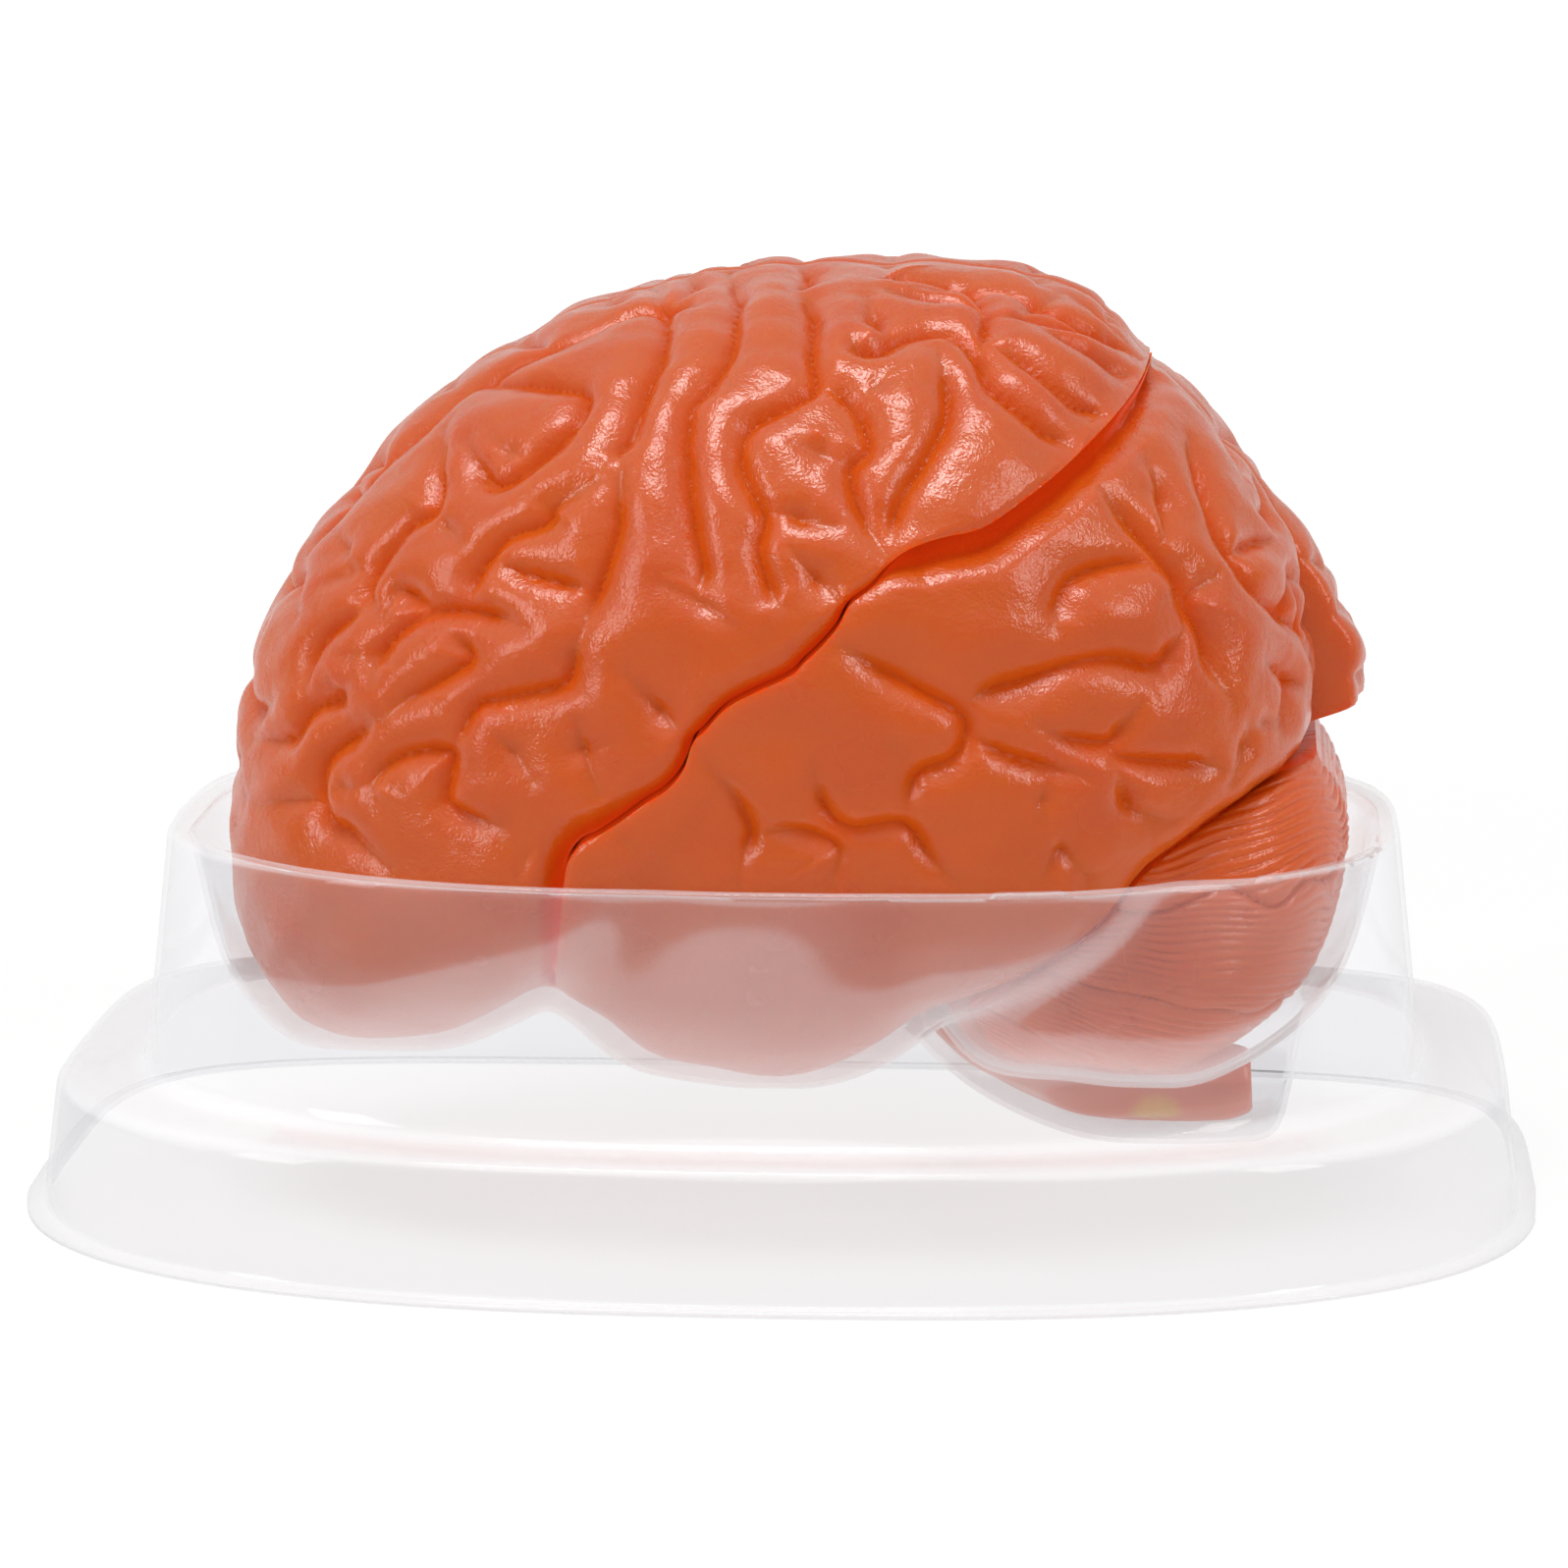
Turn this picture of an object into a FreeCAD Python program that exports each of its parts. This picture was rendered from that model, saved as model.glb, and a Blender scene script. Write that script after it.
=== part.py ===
import FreeCAD, Part
import math
import os

# Driving sizes in millimetres. The frame stands on the floor at the middle of the stand,
# with +X to the occipital pole, -Y to the left hemisphere and +Z up.
brain_length = 166.4
brain_width = 127.0
brain_height = 119.7
seat_height = 24.8
far_pole_growth = 8.5
far_pole_start = 20.0
far_pole_span = 60.0
far_pole_floor = 72.5
far_pole_ramp = 4.0
far_pole_top = 78.0
far_pole_fade = 36.0
midline_gap = 0.4
midline_round = 3.2
midline_round_reach = 12.0
midline_round_fade = 10.0
seam_gap = 0.5

# Furrows of the cortex
furrow_width = 5.5
furrow_depth = 3.2
fine_furrow_depth = 2.2
fissure_width = 5.0
fissure_depth = 4.0
lip_width = 8.0
lip_depth = 5.5
edge_width = 2.0
edge_depth = 0.8
wedge_width = 7.5
wedge_depth = 8.5
facet_size = 4.6
small_facet_size = 5.5

# The two lobes that bulge from the midline: middle of the bulge as x and z, and half width
cerebrum_middle = (8.0, 88.0)
cerebrum_half_width = 66.0
cerebellum_middle = (58.0, 46.0)
cerebellum_half_width = 45.0

# Brainstem, along its own middle line
midbrain_radius = 11.0
pons_radius = 14.0
medulla_radius = 9.0
cord_end_radius = 6.2
stem_line = [
    (21.0, 84.0, midbrain_radius), (19.0, 74.0, midbrain_radius), (13.0, 62.0, pons_radius),
    (14.0, 51.0, pons_radius), (22.0, 40.0, medulla_radius), (33.0, 28.0, medulla_radius),
    (47.0, 19.5, medulla_radius * 0.85), (60.0, 17.0, cord_end_radius), (73.0, 17.5, cord_end_radius)]
stem_clearance = 0.6
stem_slot_width = 32.4
stem_slot_play = 1.5
stem_slot_back_play = 5.0

# Steel pins and the magnets of the midline faces
pin_diameter = 4.0
pin_length = 16.0
pin_press_clearance = 0.01
pin_running_clearance = 0.08
magnet_diameter = 8.0
magnet_thickness = 3.0
magnet_clearance = 0.02
magnet_recess = 0.1

# Clear formed stand
sheet = 0.8
flange_width = 2.6
plinth_height = 20.7
plinth_draft = 2.4
ledge_end_width = 13.0
ledge_side_width = 11.1
rim_height = 58.0
tub_draft = 4.0
end_lip = 4.2
side_lip = 2.4
pocket_end_clearance = 3.4
pocket_side_clearance = 1.3
pocket_floor_clearance = 0.9
well_clearance = 1.2
well_floor_width = 17.0
well_mouth_width = 28.0
stand_facet_size = 10.5
stand_stations = 26
front_roundness = 2.45
back_roundness = 3.6
plinth_front_roundness = 2.6
plinth_back_roundness = 5.0

# The side view that the traces below were read in: a square of view_side pixels
view_side = 1597
view_pixels_per_radian = 6600.0
view_distance = 1000.0
view_height = 63.0
view_rise = math.radians(10.0)
view_turn = math.radians(4.0)

# Outlines of the left side: pixel across, pixel down, distance from the midline
cerebrum_trace = [
    (234, 800, 8), (240, 730, 7), (256, 655, 6), (292, 575, 5), (345, 500, 5), (412, 425, 5),
    (500, 358, 5), (600, 308, 4), (720, 274, 4), (850, 265, 4), (960, 267, 4), (1060, 280, 4),
    (1130, 312, 4), (1175, 366, 5), (1232, 419, 6), (1285, 487, 8), (1325, 560, 9), (1343, 640, 10),
    (1346, 705, 12), (1325, 762, 20), (1286, 797, 30), (1239, 830, 38), (1173, 884, 45),
    (1115, 950, 46), (1050, 990, 44), (985, 1016, 42), (935, 1032, 40), (880, 1070, 36),
    (810, 1092, 34), (740, 1088, 34), (660, 1070, 34), (600, 1022, 36), (553, 1003, 34),
    (500, 1025, 28), (440, 1048, 24), (375, 1050, 20), (320, 1040, 17), (278, 1000, 14),
    (250, 955, 11), (236, 890, 9)]
cerebellum_top_trace = [
    (988, 1028, 30), (1040, 1000, 40), (1112, 957, 44), (1173, 888, 44), (1239, 835, 38),
    (1300, 790, 28), (1345, 765, 16)]
cerebellum_low_trace = [
    (1345, 765, 16), (1368, 795, 12), (1378, 835, 11), (1374, 885, 12), (1356, 950, 14),
    (1325, 1004, 16), (1262, 1055, 16), (1190, 1086, 16), (1110, 1080, 16), (1040, 1074, 18),
    (1003, 1054, 24), (988, 1028, 30)]
lip_trace = [(560, 1003), (564, 950), (568, 905), (572, 881), (580, 868), (590, 859)]
seam_trace = [
    (605, 852), (630, 836), (652, 820), (674, 806), (691, 786), (701, 758), (713, 746), (736, 722),
    (766, 706), (801, 690), (816, 676), (833, 660), (850, 640), (862, 618), (885, 600), (903, 580),
    (925, 563), (958, 551), (1000, 541), (1040, 515), (1080, 483), (1120, 444), (1155, 403), (1170, 369)]

# Furrows of the left side, as pixels of the same view
furrows = {
    "superior_frontal": [(445, 435), (436, 475), (430, 518), (408, 532), (390, 550), (375, 570), (362, 595),
                         (361, 612), (377, 632)],
    "frontopolar_a": [(318, 597), (345, 584), (367, 581)],
    "frontopolar_b": [(335, 540), (341, 560), (345, 577)],
    "frontopolar_c": [(300, 715), (300, 685), (315, 652), (345, 628), (360, 619)],
    "orbital_a": [(245, 755), (282, 757), (303, 727), (330, 716), (340, 706)],
    "orbital_b": [(375, 735), (350, 752), (319, 777), (312, 810), (322, 845), (345, 857), (388, 888)],
    "orbital_c": [(316, 804), (340, 806), (368, 805)],
    "orbital_d": [(253, 823), (300, 821), (318, 840)],
    "inferior_ring": [(372, 815), (370, 798), (395, 776), (435, 770), (449, 778), (445, 808), (448, 826),
                      (480, 841), (498, 845)],
    "inferior_frontal": [(449, 776), (459, 750), (476, 723), (500, 717), (530, 711), (568, 700), (577, 670),
                         (584, 650)],
    "middle_frontal_low": [(383, 734), (402, 716), (450, 688), (467, 676), (457, 658), (447, 643)],
    "middle_frontal_a": [(332, 668), (350, 671), (365, 675)],
    "middle_frontal_b": [(370, 690), (372, 670), (400, 640), (440, 625), (490, 630), (525, 641)],
    "middle_frontal_c": [(377, 632), (392, 604), (418, 618), (440, 623)],
    "middle_frontal_d": [(470, 622), (468, 600), (480, 575), (505, 548), (545, 532), (555, 515), (600, 490)],
    "middle_frontal_e": [(485, 572), (520, 585), (570, 598), (592, 606)],
    "opercular_a": [(583, 742), (586, 760), (592, 780), (604, 814)],
    "opercular_b": [(488, 745), (515, 770), (536, 797)],
    "opercular_c": [(523, 895), (530, 880), (537, 872)],
    "superior_ring": [(476, 386), (505, 384), (570, 390), (586, 400), (575, 430), (538, 465), (505, 490),
                      (483, 488), (468, 447)],
    "superior_inner": [(495, 447), (510, 458), (535, 464)],
    "superior_branch": [(432, 520), (442, 537), (470, 558)],
    "triangular": [(635, 693), (656, 717), (677, 738), (690, 750)],
    "precentral_high": [(667, 291), (668, 330), (661, 362), (648, 392), (636, 431), (627, 449), (610, 468)],
    "precentral_low": [(627, 470), (622, 510), (618, 545), (606, 585), (594, 618), (585, 650)],
    "central": [(739, 272), (748, 291), (743, 315), (742, 335), (732, 362), (713, 388), (697, 410),
                (692, 440),
                (693, 490), (700, 540), (709, 585), (704, 606)],
    "central_foot": [(672, 598), (700, 611), (725, 627), (745, 640)],
    "postcentral": [(818, 288), (827, 312), (825, 350), (829, 386), (804, 404), (760, 427), (749, 460),
                    (757, 490), (774, 524), (768, 560), (779, 598), (791, 617)],
    "postcentral_arch": [(829, 386), (850, 390), (872, 408), (883, 430), (886, 453), (868, 472), (871, 501),
                         (887, 540), (905, 575)],
    "supramarginal_a": [(776, 524), (800, 522), (825, 530), (849, 537)],
    "supramarginal_b": [(808, 450), (835, 459), (866, 470)],
    "supramarginal_c": [(804, 560), (829, 590), (856, 618)],
    "supramarginal_d": [(886, 460), (905, 453), (922, 447)],
    "supramarginal_e": [(880, 398), (892, 388), (904, 374)],
    "parietal_long": [(866, 334), (874, 348), (895, 349), (920, 336), (960, 331), (988, 340), (1006, 358),
                      (1018, 386), (1050, 416), (1080, 444), (1097, 462)],
    "parietal_step": [(882, 298), (894, 319), (912, 337)],
    "parietal_high": [(908, 290), (950, 294), (990, 300), (1012, 313), (1009, 335), (1006, 356)],
    "parietal_crest": [(900, 279), (930, 278), (985, 280), (1005, 295), (1018, 312)],
    "angular": [(957, 350), (970, 390), (968, 425), (950, 460), (926, 498), (912, 530), (905, 563)],
    "fan_a": [(1018, 314), (1060, 317), (1115, 330), (1145, 341), (1165, 362)],
    "fan_b": [(1010, 342), (1040, 353), (1080, 386), (1120, 421), (1127, 431)],
    "fan_c": [(1066, 328), (1095, 340), (1140, 366), (1160, 384)],
    "fan_d": [(1040, 313), (1066, 303), (1086, 294)],
    "fan_e": [(1104, 302), (1128, 318), (1150, 340)],
    "occipital_a": [(1128, 497), (1152, 524), (1190, 567), (1210, 590), (1219, 620), (1219, 640)],
    "occipital_b": [(1177, 472), (1192, 495), (1197, 525), (1193, 565)],
    "occipital_c": [(1220, 446), (1232, 479), (1244, 515), (1255, 545), (1267, 567), (1293, 605),
                    (1335, 635),
                    (1343, 660)],
    "occipital_d": [(1267, 567), (1291, 553), (1313, 548)],
    "occipital_e": [(1248, 588), (1224, 613), (1238, 650), (1244, 678), (1262, 718)],
    "lateral_ring": [(1079, 640), (1083, 622), (1100, 592), (1137, 577), (1175, 574), (1203, 588)],
    "lateral_low": [(1219, 640), (1203, 666), (1187, 682), (1144, 674), (1104, 679), (1050, 697),
                    (1010, 708),
                    (984, 724)],
    "lateral_stub": [(1187, 683), (1185, 700), (1188, 711)],
    "superior_temporal": [(858, 662), (884, 679), (942, 710), (978, 730), (986, 750), (973, 779), (938, 792),
                          (926, 815), (921, 847)],
    "middle_temporal": [(982, 745), (1008, 765), (1042, 779), (1075, 788), (1112, 795)],
    "temporal_a": [(908, 765), (924, 782), (930, 797)],
    "temporal_b": [(827, 786), (832, 813), (845, 838), (870, 852), (921, 847), (949, 880), (973, 900)],
    "temporal_c": [(722, 789), (745, 817), (760, 852), (754, 875), (749, 902)],
    "temporal_d": [(762, 853), (815, 855), (853, 872), (846, 903)],
    "temporal_e": [(1064, 744), (1090, 757), (1135, 762), (1151, 744), (1168, 720)],
    "temporal_f": [(1135, 763), (1148, 777), (1201, 783), (1234, 783), (1253, 788)],
    "temporal_g": [(1146, 784), (1152, 811), (1163, 832), (1201, 841)],
    "temporal_h": [(1064, 838), (1066, 820), (1078, 792)],
    "temporal_i": [(1066, 897), (1086, 874), (1111, 897)],
    "temporal_j": [(705, 768), (722, 789)],
    "temporal_k": [(622, 850), (640, 868)],
    "pole_a": [(1281, 742), (1279, 765), (1260, 801)],
    "pole_b": [(1281, 746), (1299, 739), (1323, 738)],
    "pole_c": [(1298, 676), (1320, 686), (1337, 700)]}
fine_furrows = {
    "frontopolar_a", "frontopolar_b", "orbital_c", "orbital_d", "middle_frontal_a", "superior_inner",
    "superior_branch", "opercular_b", "opercular_c", "central_foot", "supramarginal_b", "supramarginal_d",
    "supramarginal_e", "fan_d", "lateral_stub", "temporal_a", "temporal_j", "temporal_k", "pole_b"}
crest_furrows = {"precentral_high", "central", "postcentral", "parietal_crest"}

# Furrows out of that view: over the crown as (x, distance from the midline), and round the poles as
# (distance from the midline, z)
crown_furrows = {
    "crown_long": [(-72, 17), (-60, 21), (-46, 19), (-34, 22), (-20, 20), (-12, 24)],
    "crown_a": [(-68, 4), (-63, 11), (-61, 20)],
    "crown_b": [(-54, 4), (-50, 12)],
    "crown_c": [(-42, 4), (-39, 11), (-35, 21)],
    "crown_d": [(-27, 4), (-25, 12)],
    "crown_e": [(-15, 4), (-13, 13), (-17, 20)],
    "crown_f": [(2, 4), (5, 13), (2, 22)],
    "crown_g": [(22, 20), (32, 16), (44, 19), (52, 16)],
    "crown_h": [(38, 4), (40, 10)],
    "crown_i": [(50, 4), (51, 10)]}
front_pole_furrows = {
    "front_a": [(5, 98), (12, 94), (20, 97), (29, 93)],
    "front_b": [(5, 80), (14, 82), (23, 77), (31, 79)],
    "front_c": [(12, 94), (15, 87), (14, 82)],
    "front_d": [(7, 66), (16, 68), (26, 64)],
    "front_e": [(6, 112), (14, 109), (22, 112)]}
back_pole_furrows = {
    "back_a": [(6, 112), (13, 107), (20, 109)],
    "back_b": [(9, 96), (17, 99), (25, 94), (31, 97)],
    "back_c": [(17, 99), (16, 90), (20, 82)],
    "back_d": [(20, 82), (28, 84), (33, 78)],
    "back_e": [(11, 84), (16, 90)]}

# Places of the pins and the magnets, as x and height over the floor, or x and distance from the midline
seam_pin_places = ((2.0, 37.4), (36.2, 35.3))
cerebellum_pin_place = (66.5, 22.9)
frontoparietal_magnet_places = ((-52.4, 88.0), (4.0, 122.0))
temporo_occipital_magnet_places = ((62.4, 96.0), (-14.1, 52.0))
cerebellum_magnet_place = (66.5, 44.0)
dowel_diameter = 3.0
dowel_length = 14.0
dowel_place = (13.1, 58.0)


def view_axes():
    """Eye, forward, right and up of the side view."""
    ct, st = math.cos(view_turn), math.sin(view_turn)
    cr, sr = math.cos(view_rise), math.sin(view_rise)
    forward = (-st * cr, ct * cr, -sr)
    eye = [-view_distance * part for part in forward]
    eye[2] += view_height
    return eye, forward, (ct, st, 0.0), (-st * sr, ct * sr, cr)


EYE, FORWARD, RIGHT, UP = view_axes()


def sight(px, py, depth):
    """X and Z of the sight line of a pixel where it is depth to the left of the midline."""
    a = (px - view_side / 2) / view_pixels_per_radian
    b = (view_side / 2 - py) / view_pixels_per_radian
    ray = [FORWARD[i] + a * RIGHT[i] + b * UP[i] for i in range(3)]
    t = (-depth - EYE[1]) / ray[1]
    return EYE[0] + t * ray[0], EYE[2] + t * ray[2]


def smooth_curve(points, steps, closed=False):
    """Catmull-Rom curve through points of any dimension."""
    out = []
    n = len(points)
    spans = n if closed else n - 1
    for i in range(spans):
        if closed:
            a, b, c, d = (points[(i + k - 1) % n] for k in range(4))
        else:
            a, b, c, d = (points[min(max(i + k - 1, 0), n - 1)] for k in range(4))
        for s in range(steps):
            t = s / steps
            out.append(tuple(
                0.5 * (2 * q + (r - p) * t + (2 * p - 5 * q + 4 * r - w) * t * t
                       + (3 * q - p - 3 * r + w) * t ** 3)
                for p, q, r, w in zip(a, b, c, d)))
    if not closed:
        out.append(tuple(float(v) for v in points[-1]))
    return out


def spread(points, count):
    """count + 1 points evenly spaced along a polyline."""
    run = [0.0]
    for a, b in zip(points, points[1:]):
        run.append(run[-1] + math.dist(a, b))
    out = []
    j = 0
    for i in range(count + 1):
        want = run[-1] * i / count
        while j < len(points) - 2 and run[j + 1] < want:
            j += 1
        t = (want - run[j]) / max(run[j + 1] - run[j], 1e-9)
        out.append(tuple(p + (q - p) * t for p, q in zip(points[j], points[j + 1])))
    return out


def soft_step(t):
    t = min(max(t, 0.0), 1.0)
    return t * t * (3 - 2 * t)


class Lobe:
    """One side of a lobe: its outline seen from the side, and how far it bulges from the midline."""

    def __init__(self, loop, centre, half_width, inner_power, outer_power):
        self.centre = centre
        self.half_width = half_width
        self.inner_power = inner_power
        self.outer_power = outer_power
        self.directions = 360
        self.reach = []
        self.edge = []
        shifted = [(x - centre[0], z - centre[1], e) for x, z, e in loop]
        for k in range(self.directions):
            t = 2 * math.pi * k / self.directions
            ux, uz = math.cos(t), math.sin(t)
            best = (0.0, 0.0)
            for (ax, az, ae), (bx, bz, be) in zip(shifted, shifted[1:] + shifted[:1]):
                across = ux * (bz - az) - uz * (bx - ax)
                if abs(across) < 1e-12:
                    continue
                s = (uz * ax - ux * az) / across
                r = (ax + s * (bx - ax)) * ux + (az + s * (bz - az)) * uz
                if -1e-9 <= s <= 1 + 1e-9 and r > best[0]:
                    best = (r, ae + s * (be - ae))
            self.reach.append(best[0])
            self.edge.append(best[1])

    def around(self, x, z):
        dx, dz = x - self.centre[0], z - self.centre[1]
        a = math.atan2(dz, dx) / (2 * math.pi) * self.directions % self.directions
        i = int(a) % self.directions
        j = (i + 1) % self.directions
        f = a - int(a)
        reach = self.reach[i] * (1 - f) + self.reach[j] * f
        return math.hypot(dx, dz) / reach, reach, self.edge[i] * (1 - f) + self.edge[j] * f

    def bulge(self, x, z):
        """Distance from the midline to the surface."""
        q, reach, edge = self.around(x, z)
        q = min(q, 1.0)
        return edge + (self.half_width - edge) * (1 - q ** self.inner_power) ** (1 / self.outer_power)

    def inward(self, x, z):
        """Unit vector into the surface of the left side."""
        q, reach, edge = self.around(x, z)
        q = min(max(q, 1e-6), 0.9999)
        body = 1 - q ** self.inner_power
        slope = (self.half_width - edge) / self.outer_power * body ** (1 / self.outer_power - 1)
        slope *= -self.inner_power * q ** (self.inner_power - 1) / reach
        r = max(math.hypot(x - self.centre[0], z - self.centre[1]), 1e-9)
        vx, vz = slope * (x - self.centre[0]) / r, slope * (z - self.centre[1]) / r
        size = math.sqrt(vx * vx + vz * vz + 1)
        return vx / size, 1 / size, vz / size

    def land(self, px, py):
        """Point of the surface that a pixel shows."""
        depth = 0.8 * self.half_width
        for _ in range(60):
            x, z = sight(px, py, depth)
            depth += 0.4 * (self.bulge(x, z) - depth)
        return x, -depth, z


def outline(trace, closed=True):
    return smooth_curve([(*sight(px, py, d), float(d)) for px, py, d in trace], 4, closed)


CEREBRUM_LOOP = outline(cerebrum_trace)
CEREBELLUM_LOOP = outline((cerebellum_top_trace + cerebellum_low_trace[1:-1]))
cerebrum = Lobe(CEREBRUM_LOOP, cerebrum_middle, cerebrum_half_width, 2.2, 2.1)
cerebellum = Lobe(CEREBELLUM_LOOP, cerebellum_middle, cerebellum_half_width, 2.3, 2.2)

# From the traced size to the driving sizes
traced_low = min(z for x, z, e in CEREBRUM_LOOP)
length_scale = brain_length / (max(p[0] for p in CEREBRUM_LOOP) - min(p[0] for p in CEREBRUM_LOOP))
width_scale = brain_width / (2 * cerebrum.half_width)
height_scale = brain_height / (max(p[1] for p in CEREBRUM_LOOP) - traced_low)


def fitted(point):
    x, y, z = point
    return x * length_scale, y * width_scale, seat_height + (z - traced_low) * height_scale


def traced(x, y, z):
    return x / length_scale, y / width_scale, traced_low + (z - seat_height) / height_scale


def furrow_lines():
    """Furrows of the left side."""
    lines = []
    for name, trace in furrows.items():
        flat = smooth_curve(trace, 3)
        line = [cerebrum.land(px, py) for px, py in flat]
        if name in crest_furrows:
            end = line[0] if line[0][2] > line[-1][2] else line[-1]
            upper = [p for p in CEREBRUM_LOOP if p[1] > cerebrum_middle[1]]
            crest = min(upper, key=lambda p: abs(p[0] - end[0]))
            over = (crest[0], -crest[2], crest[1])
            line = [over] + line if end is line[0] else line + [over]
        lines.append(Crease(line, fine_furrow_depth if name in fine_furrows else furrow_depth))
    for trace in crown_furrows.values():
        lines.append(Crease([crown_point(x, d) for x, d in smooth_curve(trace, 3)], furrow_depth))
    for sign, group in ((-1, front_pole_furrows), (1, back_pole_furrows)):
        for trace in group.values():
            lines.append(Crease([pole_point(d, z, sign) for d, z in smooth_curve(trace, 3)], furrow_depth))
    return lines


def crown_point(x, depth):
    """Point on top of the left side over a place of the plan."""
    low, high = cerebrum.centre[1], 170.0
    for _ in range(30):
        z = (low + high) / 2
        inside = cerebrum.around(x, z)[0] < 1 and cerebrum.bulge(x, z) > depth
        low, high = (z, high) if inside else (low, z)
    return x, -depth, low


def pole_point(depth, z, sign):
    """Point of the frontal (sign -1) or occipital (sign 1) pole of the left side."""
    near, far = cerebrum.centre[0], cerebrum.centre[0] + sign * 120.0
    for _ in range(30):
        x = (near + far) / 2
        inside = cerebrum.around(x, z)[0] < 1 and cerebrum.bulge(x, z) > depth
        near, far = (x, far) if inside else (near, x)
    return near, -depth, z


class Crease:
    """A chain of points on the surface with a depth, and the box of places that it can reach."""

    def __init__(self, line, depth):
        self.line = line
        self.depth = depth
        self.low = [min(q[k] for q in line) - furrow_width for k in range(3)]
        self.high = [max(q[k] for q in line) + furrow_width for k in range(3)]

    def near(self, p):
        return all(self.low[k] <= p[k] <= self.high[k] for k in range(3))


def nearest_on(line, p):
    """Distance from a point to a chain, the nearest place, and how far along it lies."""
    best = (1e9, p, 0.0)
    for i, (a, b) in enumerate(zip(line, line[1:])):
        ab = [b[k] - a[k] for k in range(3)]
        ap = [p[k] - a[k] for k in range(3)]
        t = sum(u * v for u, v in zip(ab, ap)) / max(sum(u * u for u in ab), 1e-9)
        t = min(max(t, 0.0), 1.0)
        q = tuple(a[k] + t * ab[k] for k in range(3))
        d = math.dist(p, q)
        if d < best[0]:
            best = (d, q, i + t)
    return best


def pillow(distance, width):
    """Share of the full depth at a distance from a furrow: steep at the furrow, round at the crown."""
    t = min(distance / width, 1.0)
    return 1 - math.sqrt(1 - (1 - t) ** 2)


def rim_at(keys, share):
    """Width and depth of a piece's rolled edge at a share of the cut's length."""
    for a, b in zip(keys, keys[1:]):
        if share <= b[0]:
            t = (share - a[0]) / (b[0] - a[0])
            return a[1] + (b[1] - a[1]) * t, a[2] + (b[2] - a[2]) * t
    return keys[-1][1:]


def stitched(left, right, points):
    """Triangles between two columns of point numbers."""
    faces = []
    i = j = 0
    while i < len(left) - 1 or j < len(right) - 1:
        step_left = i < len(left) - 1
        step_right = j < len(right) - 1
        if step_left and step_right:
            step_left = (math.dist(points[left[i + 1]], points[right[j]])
                         <= math.dist(points[left[i]], points[right[j + 1]]))
            step_right = not step_left
        if step_left:
            faces.append((left[i], left[i + 1], right[j]))
            i += 1
        else:
            faces.append((left[i], right[j + 1], right[j]))
            j += 1
    return [f for f in faces if len(set(f)) == 3]


def solid_from(points, faces):
    """Closed solid from corner points and flat faces given as loops of point numbers."""
    corners = [FreeCAD.Vector(*p) for p in points]
    made = []
    for face in faces:
        loop = [corners[i] for i in face]
        clean = [v for k, v in enumerate(loop) if (v - loop[k - 1]).Length > 1e-6]
        if len(clean) > 2:
            made.append(Part.Face(Part.makePolygon(clean + clean[:1])))
    shell = Part.makeShell(made)
    shell.sewShape(1e-5)
    if shell.ShapeType == "Compound":
        shell = shell.Shells[0]
    solid = Part.makeSolid(shell)
    if solid.Volume < 0:
        solid.reverse()
    return solid


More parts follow.
